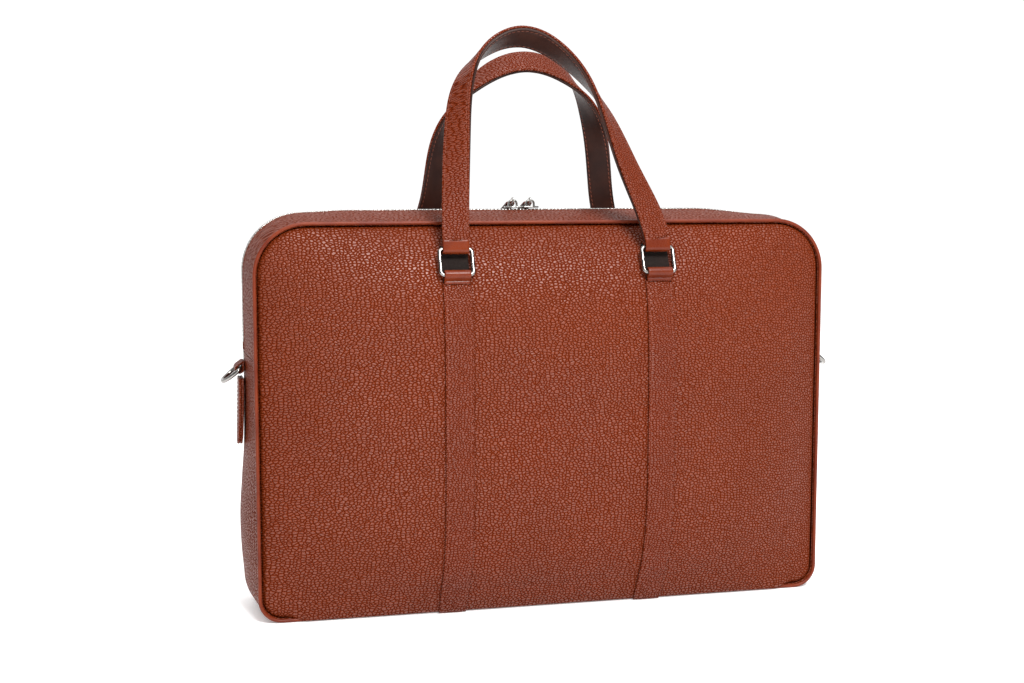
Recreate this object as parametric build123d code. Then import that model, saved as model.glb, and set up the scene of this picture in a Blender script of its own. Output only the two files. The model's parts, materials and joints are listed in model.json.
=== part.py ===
"""Soft leather briefcase with two carrying handles, a two-way zip and a ring for a shoulder strap at each side.

Millimetres. +X is the wearer's right seen from the front, +Y points to the back panel and +Z points up.
The origin is on the ground, under the middle of the case.
"""

from build123d import *
import math
import os

# ---------------------------------------------------------------- body
BODY_WIDTH = 423.0  # across the front panel, outside its piping
BODY_HEIGHT = 282.0  # from the ground to the top of the piping
BODY_DEPTH = 75.0  # between the centre lines of the two pipings
TOP_CORNER_RADIUS = 38.0
BOTTOM_CORNER_RADIUS = 17.0
TOP_CORNER_SOFTENING = 4.0  # extra corner radius along the middle of the gusset
BOTTOM_CORNER_SOFTENING = 12.0
PANEL_BULGE = 34.0  # how far the filled panels stand out beyond their edges
PANEL_FULLNESS = 4  # power of the bulge: a higher one keeps the middle flatter
SIDE_CROWN = 6.0  # how far the gusset stands out at the middle of a side
TOP_CROWN = 9.0  # how far the gusset rises at the zip
BASE_SAG = 3.0  # how far the base settles before the ground flattens it
CROWN_POWER = 1.6  # 2 is a round crown, 1 is a roof

# ---------------------------------------------------------------- sheet materials
LEATHER = 1.6
LINING = 0.8
PANEL_STIFFENER = 1.2
BASE_BOARD = 2.0
GLUE_GAP = 0.15  # between layers that lie on each other
SEAM_GAP = 0.3  # between edges that are sewn to each other
PIPING_DIAMETER = 3.0
PIPING_PROUD = 1.5  # how far the piping stands out beyond the gusset's edge

# ---------------------------------------------------------------- zip
ZIP_OPENING = 11.0  # between the two leather strips
ZIP_END_HEIGHT = 184.0  # where the zip ends on each side
TAPE_WIDTH = 14.0
TAPE_THICKNESS = 0.6
TAPE_INNER_EDGE = 1.4
CHAIN_WIDTH = 2.6  # of one side's row of teeth
CHAIN_GAP = 1.2  # between the two rows
CHAIN_THICKNESS = 3.2
CHAIN_PROUD = 0.4  # above the leather
ZIP_STOP_LENGTH = 5.0
SLIDER_LENGTH = 12.5
SLIDER_WIDTH = 8.4
SLIDER_PLATE = 1.2
SLIDER_CORNER = 2.5
SLIDER_CLEARANCE = 0.3
SLIDER_POST_WIDTH = 0.6
SLIDER_POST_LENGTH = 6.0
SLIDER_GAP = 0.6  # between the two sliders when the zip is shut
SLIDERS_MEET_X = -12.0
BRIDGE_RADIUS = 0.7
BRIDGE_SPAN = 6.0
BRIDGE_CORNER = 1.0
BRIDGE_HEIGHT = 4.4  # of the bar's centre above the top plate
LINK_WIRE = 0.6  # radius
LINK_CLEARANCE = 0.3  # round a link's wire
LINK_LENGTH = 10.0
LINK_ROUNDING = 0.9  # corner radius as a share of half the link's width
PULL_WIDTH = 8.0
PULL_LENGTH = 26.0
PULL_THICKNESS = 1.8
PULL_END_ROUNDING = 0.7  # corner radius as a share of half the pull's width
PULL_SLOT_SLACK = 1.0  # extra length of the slot towards the slider
PULL_SLOT_EDGE = 1.4  # leather left between the slot and the end
PULL_REST_SLOPE = 18.0  # degrees below level, lying on the back strip

# ---------------------------------------------------------------- straps, rings and handles
STRAP_SPACING = 147.0  # between the centre lines of a panel's two straps
STRAP_WIDTH = 20.0
STRAP_THICKNESS = 1.8
RING_DROP = 36.3  # from the top of the body to the ring's lower bar
RING_INNER_WIDTH = STRAP_WIDTH
RING_BAR_SPACING = 18.5
RING_LEAN = 22.0  # degrees that a ring leans back from upright
RING_WIRE = 1.5  # radius
RING_CORNER = 2.2  # radius of the wire's centre line
LOOP_SIDE_CLEARANCE = 1.0  # between a loop's edge and the ring's side
LOOP_LEATHER = 1.6
BAR_CLEARANCE = 0.25  # between a bar and the leather looped round it
LOOP_REACH = 6.0  # from a bar to where its loop becomes flat strap
LOOP_FOOT = 1.0  # length of the loop's flat end, inside the strap or the handle
HANDLE_SIDE_CLEARANCE = 0.5
HANDLE_LAYER = 1.4
HANDLE_CORE = 1.0
HANDLE_STATIONS = 23
HANDLE_LINING_START = 4.0  # from the end loop to the core and the inner leather
FRONT_HANDLE_ROLL = 37.0  # degrees that the band tips forward at the top of its arch
BACK_HANDLE_ROLL = 50.0
# Centre line from the left ring to the right one: X, setback towards the middle of the case from
# the ring's bar, and height above the ring's upper bar.
FRONT_HANDLE_ROUTE = [
    (-72.9, 1.0, 38.0),
    (-70.8, 4.0, 83.0),
    (-59.0, 8.0, 127.5),
    (-24.0, 11.0, 147.0),
    (8.0, 10.0, 132.5),
    (31.0, 8.0, 105.0),
    (53.5, 4.5, 55.5),
]
BACK_HANDLE_ROUTE = [
    (-69.0, 1.0, 28.0),
    (-60.5, 4.0, 80.0),
    (-37.0, 8.0, 119.0),
    (5.0, 10.5, 137.0),
    (42.0, 8.5, 120.0),
    (60.5, 4.0, 84.0),
    (68.0, 1.0, 28.0),
]

# ---------------------------------------------------------------- side rings and zip end tabs
D_RING_INNER_WIDTH = 20.0
D_RING_REACH = 14.5  # from its bar to the middle of its bow
D_RING_WIRE = 1.5  # radius
D_RING_BAR_CORNER = 2.2
D_RING_BOW_ROUNDING = 0.85  # corner radius as a share of half the ring's width
D_RING_SLOPE = 38.0  # degrees that it hangs below level
SIDE_LOOP_REACH = 5.0  # from the ring's bar up to the end of its loop
SIDE_LOOP_BELOW_ZIP = 1.5
TAB_WIDTH = 20.0
TAB_LENGTH = 48.0
TAB_THICKNESS = 3.6
TAB_FOOT_ROUNDING = 0.9  # corner radius as a share of half the tab's width
TAB_GAP = 0.5  # between the tab and the gusset
TAB_TOP_BELOW_BAR = 6.5

# ---------------------------------------------------------------- inside
DIVIDER_THICKNESS = 5.0
DIVIDER_Y = 11.0  # its front face
DIVIDER_TOP = 232.0
POCKET_THICKNESS = 1.4
POCKET_WIDTH = 300.0
POCKET_HEIGHT = 150.0
POCKET_ROOM = 6.0  # between the pocket and the lining behind it
INSIDE_CLEARANCE = 1.5
LINING_FROM_ZIP = 2.0  # between the lining's slot and the leather strip's edge

LOOP_WIDTH = RING_INNER_WIDTH - 2 * LOOP_SIDE_CLEARANCE
HANDLE_WIDTH = RING_INNER_WIDTH - 2 * HANDLE_SIDE_CLEARANCE
SIDE_LOOP_WIDTH = D_RING_INNER_WIDTH - 2 * LOOP_SIDE_CLEARANCE
HALF_DEPTH = BODY_DEPTH / 2
HALF_WIDTH = BODY_WIDTH / 2
PANEL_HALF_WIDTH = HALF_WIDTH - PIPING_DIAMETER - GLUE_GAP
PANEL_HALF_HEIGHT = BODY_HEIGHT / 2 - PIPING_DIAMETER - GLUE_GAP
GUSSET_EDGE = HALF_DEPTH - PIPING_DIAMETER / 2 - GLUE_GAP
LOWER_BAR_Z = BODY_HEIGHT - RING_DROP
UPPER_BAR_Z = LOWER_BAR_Z + RING_BAR_SPACING * math.cos(math.radians(RING_LEAN))
UPPER_BAR_SETBACK = RING_BAR_SPACING * math.sin(math.radians(RING_LEAN))
LOOP_RADIUS = RING_WIRE + BAR_CLEARANCE + LOOP_LEATHER
STRAP_TOP_Z = LOWER_BAR_Z - LOOP_REACH
RIDGE_Z = BODY_HEIGHT - PIPING_PROUD + TOP_CROWN
SIDE_X = HALF_WIDTH - PIPING_PROUD + SIDE_CROWN
LINING_INSET = LEATHER + GLUE_GAP + BASE_BOARD + GLUE_GAP
SIDE_BAR_X = SIDE_X + D_RING_WIRE + BAR_CLEARANCE + LOOP_LEATHER + GLUE_GAP
SIDE_BAR_Z = ZIP_END_HEIGHT - SIDE_LOOP_REACH - SIDE_LOOP_BELOW_ZIP
FAR = 1000.0  # larger than the case


def save(node, shape):
    """Write one sub-part to its own file."""
    export_step(shape, f"parts/{node}.step")
    print(f"{node}: {len(shape.solids())} solid(s), {shape.volume:.0f} mm3")


def block(low, high):
    """A box from its lowest corner to its highest."""
    size = [b - a for a, b in zip(low, high)]
    middle = [(a + b) / 2 for a, b in zip(low, high)]
    return Pos(*middle) * Box(*size)


def to_back(shape):
    """The same piece on the back of the case."""
    return mirror(shape, about=Plane.XZ)


def to_right(shape):
    """The same piece on the right of the case."""
    return mirror(shape, about=Plane.YZ)


# ================================================================ body shapes
def outline(y, half_width, bottom, top, bottom_radius, top_radius):
    """A rounded rectangle, upright, at one distance from the middle of the case."""
    corners = [(-half_width, bottom), (half_width, bottom), (half_width, top), (-half_width, top)]
    radii = [bottom_radius, bottom_radius, top_radius, top_radius]
    edge = FilletPolyline(*corners, radius=radii, close=True)
    return Plane((0, y, 0), x_dir=(1, 0, 0), z_dir=(0, -1, 0)) * make_face(edge)


def barrel(inset):
    """The crowned block that the gusset wraps round, all its faces moved in by inset."""
    faces = []
    for share in (-1.0, -0.75, -0.5, -0.25, 0.0, 0.25, 0.5, 0.75, 1.0):
        crown = 1 - abs(share) ** CROWN_POWER
        edge = PIPING_PROUD + inset
        faces.append(
            outline(
                share * GUSSET_EDGE,
                HALF_WIDTH - edge + SIDE_CROWN * crown,
                edge - BASE_SAG * crown,
                BODY_HEIGHT - edge + TOP_CROWN * crown,
                BOTTOM_CORNER_RADIUS - edge + BOTTOM_CORNER_SOFTENING * crown,
                TOP_CORNER_RADIUS - edge + TOP_CORNER_SOFTENING * crown,
            )
        )
    above_ground = block((-FAR, -FAR, inset), (FAR, FAR, FAR))
    return loft(faces) & above_ground


def shell(outer_inset, inner_inset):
    """A layer of the gusset, open at the front and back."""
    return barrel(outer_inset) - barrel(inner_inset)


def band(low_y, high_y, low_z=-FAR, high_z=FAR):
    """Everything between two distances from the front and between two heights."""
    return block((-FAR, low_y, low_z), (FAR, high_y, high_z))


def dome_depth(x, z):
    """How far the outside of a panel stands from the middle of the case at a point."""
    across = 1 - abs(x / PANEL_HALF_WIDTH) ** PANEL_FULLNESS
    up = 1 - abs((z - BODY_HEIGHT / 2) / PANEL_HALF_HEIGHT) ** PANEL_FULLNESS
    return HALF_DEPTH + PANEL_BULGE * across * up


def dome_layer(depth_in, thickness):
    """A layer that follows the front panel's bulge, from depth_in inside its outer face."""
    columns, rows, margin = 24, 18, 1.0
    grid = []
    for i in range(columns + 1):
        x = (2 * i / columns - 1) * (PANEL_HALF_WIDTH + margin)
        column = []
        for j in range(rows + 1):
            z = BODY_HEIGHT / 2 + (2 * j / rows - 1) * (PANEL_HALF_HEIGHT + margin)
            column.append(Vector(x, -dome_depth(x, z) + depth_in, z))
        grid.append(column)
    face = Face.make_surface_from_array_of_points(grid, tol=0.01, min_deg=4, max_deg=6)
    return extrude(face, amount=thickness, dir=(0, 1, 0))


def panel_prism(inset):
    """A block with the panel's outline, its edges moved in by inset from the piping's outside."""
    face = outline(
        FAR / 2,
        HALF_WIDTH - inset,
        inset,
        BODY_HEIGHT - inset,
        BOTTOM_CORNER_RADIUS - inset,
        TOP_CORNER_RADIUS - inset,
    )
    return extrude(face, amount=FAR, dir=(0, -1, 0))


def panel_layer(depth_in, thickness, inset):
    """One layer of the front panel, cut to its outline."""
    return dome_layer(depth_in, thickness) & panel_prism(inset)


def piping():
    """The leather-covered cord round the front panel."""
    radius = PIPING_DIAMETER / 2
    loop = outline(
        -HALF_DEPTH,
        HALF_WIDTH - radius,
        radius + GLUE_GAP,
        BODY_HEIGHT - radius,
        BOTTOM_CORNER_RADIUS - radius,
        TOP_CORNER_RADIUS - radius,
    ).wires()[0]
    section = Plane(loop @ 0, z_dir=loop % 0) * Circle(radius)
    return sweep(section, path=loop)


# ================================================================ rings and loops
def closed_wire(points, corner, wire_radius):
    """A ring bent from round wire along a rounded outline given in its own plane."""
    loop = FilletPolyline(*points, radius=corner, close=True)
    section = Plane(loop @ 0, z_dir=loop % 0) * Circle(wire_radius)
    return sweep(section, path=loop)


def handle_ring(x, bar_y):
    """The rectangular ring between a strap and a handle, leaning back on the panel's slope."""
    half = RING_INNER_WIDTH / 2 + RING_WIRE
    points = [
        (x - half, 0, 0),
        (x + half, 0, 0),
        (x + half, 0, RING_BAR_SPACING),
        (x - half, 0, RING_BAR_SPACING),
    ]
    ring = closed_wire(points, RING_CORNER, RING_WIRE)
    return Pos(0, -bar_y, LOWER_BAR_Z) * Rot(-RING_LEAN, 0, 0) * ring


def looped_leather(bar, flat, thickness, width, x):
    """Leather folded round a bar along X and pressed flat, both given as (Y, Z), up to flat."""
    bar_y, bar_z = bar
    flat_y, flat_z = flat
    round_part = Pos(bar_y, bar_z) * Circle(LOOP_RADIUS)
    flat_part = Pos(flat_y, flat_z) * Rectangle(thickness, LOOP_FOOT)
    side = make_hull([*round_part.edges(), *flat_part.edges()])
    side -= Pos(bar_y, bar_z) * Circle(LOOP_RADIUS - LOOP_LEATHER)
    plane = Plane((x, 0, 0), x_dir=(0, 1, 0), z_dir=(1, 0, 0))
    return extrude(plane * side, amount=width / 2, both=True)


def strap(x, bar_y):
    """A strap sewn up the front panel, with its top end looped round the ring's lower bar."""
    strip = dome_layer(-STRAP_THICKNESS - GLUE_GAP, STRAP_THICKNESS) & block(
        (x - STRAP_WIDTH / 2, -FAR, PIPING_DIAMETER + GLUE_GAP),
        (x + STRAP_WIDTH / 2, 0, STRAP_TOP_Z),
    )
    foot_z = STRAP_TOP_Z - LOOP_FOOT
    face_y = -dome_depth(x, foot_z - LOOP_FOOT / 2) - GLUE_GAP - STRAP_THICKNESS / 2
    top = looped_leather((-bar_y, LOWER_BAR_Z), (face_y, foot_z), STRAP_THICKNESS, LOOP_WIDTH, x)
    return strip + top


# ================================================================ handles
def handle_path(route, bar_y):
    """The centre line of a front handle, from the top of one end loop to the other."""
    start_z = UPPER_BAR_Z + LOOP_REACH
    ring_x = STRAP_SPACING / 2
    middle = [(x, -bar_y + setback, UPPER_BAR_Z + rise) for x, setback, rise in route]
    points = [(-ring_x, -bar_y, start_z), *middle, (ring_x, -bar_y, start_z)]
    return Spline(*points, tangents=[(0, 0, 1), (0.25, 0, -1)])


def handle_frame(path, share, roll):
    """The plane across the handle at a share of its length: x across the band, y to its inner face."""
    turn = math.radians(180 * share)
    tip = math.radians(roll)
    across = Vector(math.cos(turn), -math.sin(turn) * math.cos(tip), math.sin(turn) * math.sin(tip))
    along = path % share
    across = (across - along * across.dot(along)).normalized()
    return Plane(path @ share, x_dir=across, z_dir=along)


def handle_layer(path, roll, low, high):
    """One layer of the handle between two depths, measured from its middle towards its inner face."""
    sections = []
    for i in range(HANDLE_STATIONS):
        face = Pos(0, (low + high) / 2) * Rectangle(HANDLE_WIDTH, high - low)
        sections.append(handle_frame(path, i / (HANDLE_STATIONS - 1), roll) * face)
    return loft(sections)


def handle(route, roll, bar_y):
    """The outer leather with its end loops, the core and the inner leather of a front handle."""
    path = handle_path(route, bar_y)
    total = 2 * HANDLE_LAYER + HANDLE_CORE + 2 * GLUE_GAP
    outer_face, inner_face = -total / 2, total / 2
    core_low = outer_face + HANDLE_LAYER + GLUE_GAP
    core_high = inner_face - HANDLE_LAYER - GLUE_GAP
    loop_end_z = UPPER_BAR_Z + LOOP_REACH
    above_loops = band(-FAR, FAR, loop_end_z + HANDLE_LINING_START)
    outer = handle_layer(path, roll, outer_face, outer_face + HANDLE_LAYER)
    for x in (-STRAP_SPACING / 2, STRAP_SPACING / 2):
        bar = (-bar_y, UPPER_BAR_Z)
        foot = (-bar_y, loop_end_z + LOOP_FOOT / 2)
        outer += looped_leather(bar, foot, total, LOOP_WIDTH, x)
    core = handle_layer(path, roll, core_low, core_high) & above_loops
    inner = handle_layer(path, roll, core_high + GLUE_GAP, inner_face) & above_loops
    return outer, core, inner


# ================================================================ zip
def tape():
    """The front half of the zip's cloth tape, under the front strip's edge."""
    inset = LEATHER + GLUE_GAP
    layer = shell(inset, inset + TAPE_THICKNESS)
    edge = ZIP_END_HEIGHT + SEAM_GAP
    return layer & band(-TAPE_INNER_EDGE - TAPE_WIDTH, -TAPE_INNER_EDGE, edge)


def chain(front_tape):
    """The front row of teeth, as one bead that grips the tape's edge."""
    low, high = -CHAIN_GAP / 2 - CHAIN_WIDTH, -CHAIN_GAP / 2
    bead = shell(-CHAIN_PROUD, CHAIN_THICKNESS - CHAIN_PROUD)
    end = ZIP_END_HEIGHT + SEAM_GAP + ZIP_STOP_LENGTH + SEAM_GAP
    return (bead & band(low, high, end)) - front_tape


def zip_stops(tapes):
    """The pressed metal stops that hold both rows together at the zip's two ends."""
    half = CHAIN_GAP / 2 + CHAIN_WIDTH
    low = ZIP_END_HEIGHT + SEAM_GAP
    bead = shell(-CHAIN_PROUD, CHAIN_THICKNESS - CHAIN_PROUD)
    stops = bead & band(-half, half, low, low + ZIP_STOP_LENGTH)
    for one in tapes:
        stops -= one
    return stops


def slider(x):
    """A zip slider: a plate above and a plate below the teeth, the post between them and a bridge."""
    chain_top = RIDGE_Z + CHAIN_PROUD
    chain_bottom = chain_top - CHAIN_THICKNESS
    top_low = chain_top + SLIDER_CLEARANCE
    bottom_high = chain_bottom - SLIDER_CLEARANCE
    half_x, half_y = SLIDER_LENGTH / 2, SLIDER_WIDTH / 2
    top = block((x - half_x, -half_y, top_low), (x + half_x, half_y, top_low + SLIDER_PLATE))
    bottom = block((x - half_x, -half_y, bottom_high - SLIDER_PLATE), (x + half_x, half_y, bottom_high))
    plates = fillet(top.edges().filter_by(Axis.Z), SLIDER_CORNER)
    plates += fillet(bottom.edges().filter_by(Axis.Z), SLIDER_CORNER)
    post = block(
        (x - SLIDER_POST_LENGTH / 2, -SLIDER_POST_WIDTH / 2, bottom_high - SLIDER_PLATE / 2),
        (x + SLIDER_POST_LENGTH / 2, SLIDER_POST_WIDTH / 2, top_low + SLIDER_PLATE / 2),
    )
    plate_top = top_low + SLIDER_PLATE
    bar_z = plate_top + BRIDGE_HEIGHT
    half_span = BRIDGE_SPAN / 2
    route = FilletPolyline(
        (x - half_span, 0, plate_top - SLIDER_PLATE / 2),
        (x - half_span, 0, bar_z),
        (x + half_span, 0, bar_z),
        (x + half_span, 0, plate_top - SLIDER_PLATE / 2),
        radius=BRIDGE_CORNER,
    )
    bridge = sweep(Plane(route @ 0, z_dir=route % 0) * Circle(BRIDGE_RADIUS), path=route)
    return plates + post + bridge, bar_z


def pull(x, bar_z):
    """The wire link on a slider's bridge and the leather tab it carries, lying on the back strip."""
    half_w = BRIDGE_RADIUS + LINK_WIRE + LINK_CLEARANCE
    tab_wire_y = LINK_LENGTH - half_w
    points = [(x, -half_w, -half_w), (x, tab_wire_y, -half_w), (x, tab_wire_y, half_w), (x, -half_w, half_w)]
    link = closed_wire(points, half_w * LINK_ROUNDING, LINK_WIRE)
    slot_half = LINK_WIRE + LINK_CLEARANCE
    slot_near = tab_wire_y - slot_half - PULL_SLOT_SLACK
    near = slot_near - PULL_SLOT_EDGE
    half = PULL_THICKNESS / 2
    leather = block((x - PULL_WIDTH / 2, near, -half), (x + PULL_WIDTH / 2, near + PULL_LENGTH, half))
    leather = fillet(leather.edges().filter_by(Axis.Z), PULL_WIDTH / 2 * PULL_END_ROUNDING)
    leather -= block((x - slot_half, slot_near, -FAR), (x + slot_half, tab_wire_y + slot_half, FAR))
    place = Pos(0, 0, bar_z) * Rot(-PULL_REST_SLOPE, 0, 0)
    return place * link, place * leather


# ================================================================ sides
def side_pieces():
    """The left side's ring, the loop that holds it and the tab that covers the zip's end."""
    half = D_RING_INNER_WIDTH / 2 + D_RING_WIRE
    bow = [(0, -half, 0), (0, half, 0), (-D_RING_REACH, half, 0), (-D_RING_REACH, -half, 0)]
    bow_corner = half * D_RING_BOW_ROUNDING
    radii = [D_RING_BAR_CORNER, D_RING_BAR_CORNER, bow_corner, bow_corner]
    path = FilletPolyline(*bow, radius=radii, close=True)
    ring = sweep(Plane(path @ 0, z_dir=path % 0) * Circle(D_RING_WIRE), path=path)
    ring = Pos(-SIDE_BAR_X, 0, SIDE_BAR_Z) * Rot(0, -D_RING_SLOPE, 0) * ring

    plane = Plane((0, 0, 0), x_dir=(1, 0, 0), z_dir=(0, -1, 0))
    radius = D_RING_WIRE + BAR_CLEARANCE + LOOP_LEATHER
    round_part = Pos(-SIDE_BAR_X, SIDE_BAR_Z) * Circle(radius)
    foot_x = -SIDE_X - GLUE_GAP - LOOP_LEATHER / 2
    foot = Pos(foot_x, SIDE_BAR_Z + SIDE_LOOP_REACH) * Rectangle(LOOP_LEATHER, LOOP_FOOT)
    side = make_hull([*round_part.edges(), *foot.edges()])
    side -= Pos(-SIDE_BAR_X, SIDE_BAR_Z) * Circle(radius - LOOP_LEATHER)
    loop = extrude(plane * side, amount=SIDE_LOOP_WIDTH / 2, both=True)

    top = SIDE_BAR_Z - TAB_TOP_BELOW_BAR
    near_x = -SIDE_X - TAB_GAP
    tab = block((near_x - TAB_THICKNESS, -TAB_WIDTH / 2, top - TAB_LENGTH), (near_x, TAB_WIDTH / 2, top))
    low_corners = tab.edges().filter_by(Axis.X).group_by(Axis.Z)[0]
    tab = fillet(low_corners, TAB_WIDTH / 2 * TAB_FOOT_ROUNDING)
    return ring, loop, tab


# ================================================================ inside
def base_board():
    """The stiff board that keeps the base flat, between the leather and the lining."""
    inset = LEATHER + GLUE_GAP
    reach = HALF_WIDTH - BOTTOM_CORNER_RADIUS - SIDE_CROWN
    half_y = GUSSET_EDGE - 2 * PIPING_DIAMETER
    return block((-reach, -half_y, inset), (reach, half_y, inset + BASE_BOARD)) & barrel(inset)


def gusset_lining():
    """The cloth inside the gusset, with its slot for the zip."""
    limit = GUSSET_EDGE - PANEL_STIFFENER - LINING - 2 * SEAM_GAP
    layer = shell(LINING_INSET, LINING_INSET + LINING) & band(-limit, limit)
    half_slot = ZIP_OPENING / 2 + LINING_FROM_ZIP
    return layer - band(-half_slot, half_slot, ZIP_END_HEIGHT)


def inner_wall(front_y, thickness, inset, top):
    """An upright sheet inside the lining, cut to the inside's outline and to a height."""
    limit = LINING_INSET + LINING + PIPING_PROUD + inset
    sheet = panel_prism(limit) & band(front_y, front_y + thickness, -FAR, top)
    return sheet


def slip_pocket():
    """The open pocket on the front lining, a flat cloth sheet sewn along its sides and foot."""
    back_y = -HALF_DEPTH + PANEL_STIFFENER + LINING + LEATHER + 3 * GLUE_GAP + POCKET_ROOM
    foot = LINING_INSET + LINING + PIPING_PROUD + INSIDE_CLEARANCE + BOTTOM_CORNER_RADIUS
    half = POCKET_WIDTH / 2
    return block((-half, back_y, foot), (half, back_y + POCKET_THICKNESS, foot + POCKET_HEIGHT))


# ================================================================ assembly
def main():
    """Build every sub-part and write it."""
    os.makedirs("parts", exist_ok=True)

    front_panel = panel_layer(0, LEATHER, PIPING_DIAMETER + GLUE_GAP)
    inner_inset = PIPING_DIAMETER + PIPING_PROUD
    stiff_in = LEATHER + GLUE_GAP
    front_stiffener = panel_layer(stiff_in, PANEL_STIFFENER, inner_inset)
    lining_in = stiff_in + PANEL_STIFFENER + GLUE_GAP
    front_lining = panel_layer(lining_in, LINING, inner_inset)
    front_piping = piping()
    pairs = {
        "panel": front_panel,
        "panel_stiffener": front_stiffener,
        "panel_lining": front_lining,
        "piping": front_piping,
    }
    for name, shape in pairs.items():
        save(f"front_{name}", shape)
        save(f"back_{name}", to_back(shape))

    leather_shell = shell(0, LEATHER)
    gap = SEAM_GAP / 2
    save("base_and_side_gusset", leather_shell & band(-FAR, FAR, -FAR, ZIP_END_HEIGHT - gap))
    front_strip = leather_shell & band(-FAR, -ZIP_OPENING / 2, ZIP_END_HEIGHT + gap)
    save("front_zip_strip", front_strip)
    save("back_zip_strip", to_back(front_strip))
    save("base_board", base_board())
    save("gusset_lining", gusset_lining())
    divider = inner_wall(DIVIDER_Y, DIVIDER_THICKNESS, INSIDE_CLEARANCE, DIVIDER_TOP)
    save("padded_divider", divider)
    save("front_slip_pocket", slip_pocket())

    front_tape = tape()
    back_tape = to_back(front_tape)
    save("front_zip_tape", front_tape)
    save("back_zip_tape", back_tape)
    front_chain = chain(front_tape)
    save("front_zip_teeth", front_chain)
    save("back_zip_teeth", to_back(front_chain))
    save("zip_end_stops", zip_stops([front_tape, back_tape]))
    for side, sign in (("left", -1), ("right", 1)):
        x = SLIDERS_MEET_X + sign * (SLIDER_LENGTH + SLIDER_GAP) / 2
        body, bar_z = slider(x)
        link, leather = pull(x, bar_z)
        save(f"{side}_slider", body)
        save(f"{side}_pull_link", link)
        save(f"{side}_pull_tab", leather)
        print(f"{side} bridge bar at x {x:.2f}, z {bar_z:.2f}")

    strap_x = STRAP_SPACING / 2
    loop_back = LOWER_BAR_Z - LOOP_RADIUS
    bar_y = dome_depth(strap_x, loop_back) + LOOP_RADIUS + 2 * GLUE_GAP
    upper_y = bar_y - UPPER_BAR_SETBACK
    print(f"lower ring bars at y {bar_y:.2f}, z {LOWER_BAR_Z:.2f}")
    print(f"upper ring bars at y {upper_y:.2f}, z {UPPER_BAR_Z:.2f}")
    for side, x in (("left", -strap_x), ("right", strap_x)):
        one_strap = strap(x, bar_y)
        one_ring = handle_ring(x, bar_y)
        save(f"front_{side}_strap", one_strap)
        save(f"back_{side}_strap", to_back(one_strap))
        save(f"front_{side}_ring", one_ring)
        save(f"back_{side}_ring", to_back(one_ring))
    layers = ("outer", "core", "inner")
    for layer, shape in zip(layers, handle(FRONT_HANDLE_ROUTE, FRONT_HANDLE_ROLL, upper_y)):
        save(f"front_handle_{layer}", shape)
    for layer, shape in zip(layers, handle(BACK_HANDLE_ROUTE, BACK_HANDLE_ROLL, upper_y)):
        save(f"back_handle_{layer}", to_back(shape))

    for name, shape in zip(("d_ring", "ring_loop", "zip_end_tab"), side_pieces()):
        save(f"left_{name}", shape)
        save(f"right_{name}", to_right(shape))
    print(f"side ring bars at x {SIDE_BAR_X:.2f}, z {SIDE_BAR_Z:.2f}")


main()
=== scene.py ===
"""A cognac leather briefcase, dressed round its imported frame.

Sizes are in millimetres in the frame's axes: +X to the right seen from the front, +Y to the back and +Z up.
Each sub-assembly is a class that reads its place from the frame, builds its meshes and dresses them.
"""

from __future__ import annotations

import json
import logging
import math
from collections.abc import Callable, Iterable, Sequence
from dataclasses import dataclass, field
from enum import Enum

import bmesh
import bpy
from mathutils import Matrix, Vector, noise

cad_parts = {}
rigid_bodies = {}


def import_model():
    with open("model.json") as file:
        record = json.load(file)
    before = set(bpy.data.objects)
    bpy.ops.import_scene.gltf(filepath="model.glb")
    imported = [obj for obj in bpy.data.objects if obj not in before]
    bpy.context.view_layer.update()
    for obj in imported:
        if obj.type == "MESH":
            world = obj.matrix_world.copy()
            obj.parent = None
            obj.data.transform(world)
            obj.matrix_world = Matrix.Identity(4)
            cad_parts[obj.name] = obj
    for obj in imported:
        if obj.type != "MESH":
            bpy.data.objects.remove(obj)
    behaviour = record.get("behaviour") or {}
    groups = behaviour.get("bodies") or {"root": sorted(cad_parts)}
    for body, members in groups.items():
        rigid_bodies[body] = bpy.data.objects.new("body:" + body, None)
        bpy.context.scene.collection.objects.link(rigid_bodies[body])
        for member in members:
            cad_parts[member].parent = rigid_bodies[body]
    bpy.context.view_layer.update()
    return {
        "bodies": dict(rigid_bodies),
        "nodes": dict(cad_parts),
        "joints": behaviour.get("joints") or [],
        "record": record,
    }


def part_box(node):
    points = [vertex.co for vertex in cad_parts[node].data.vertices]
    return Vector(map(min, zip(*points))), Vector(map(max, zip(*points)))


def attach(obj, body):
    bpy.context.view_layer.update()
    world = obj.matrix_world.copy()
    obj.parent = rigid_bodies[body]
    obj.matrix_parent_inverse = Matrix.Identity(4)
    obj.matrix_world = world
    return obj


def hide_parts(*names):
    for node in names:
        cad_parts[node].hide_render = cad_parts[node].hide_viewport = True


LOG = logging.getLogger("briefcase")
MM = 0.001

Place = Callable[[float, float], Vector]
Point2 = tuple[float, float]


# ============================================================ choices
class Side(Enum):
    """The two faces of the case, by the sign of their Y."""

    FRONT = -1
    BACK = 1

    @property
    def word(self) -> str:
        """The side's name, as the frame's nodes have it."""
        return self.name.lower()


class Hand(Enum):
    """The two ends of the case, by the sign of their X."""

    LEFT = -1
    RIGHT = 1

    @property
    def word(self) -> str:
        """The hand's name, as the frame's nodes have it."""
        return self.name.lower()


class Slot(Enum):
    """The record's material slots."""

    LEATHER = "cognac_leather"
    DARK_LEATHER = "handle_lining_leather"
    BOARD = "stiffener_board"
    LINING = "lining_cloth"
    PADDING = "padding"
    TAPE = "zip_tape_cloth"
    ZIP_METAL = "zip_metal"
    RING_METAL = "ring_metal"


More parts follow.
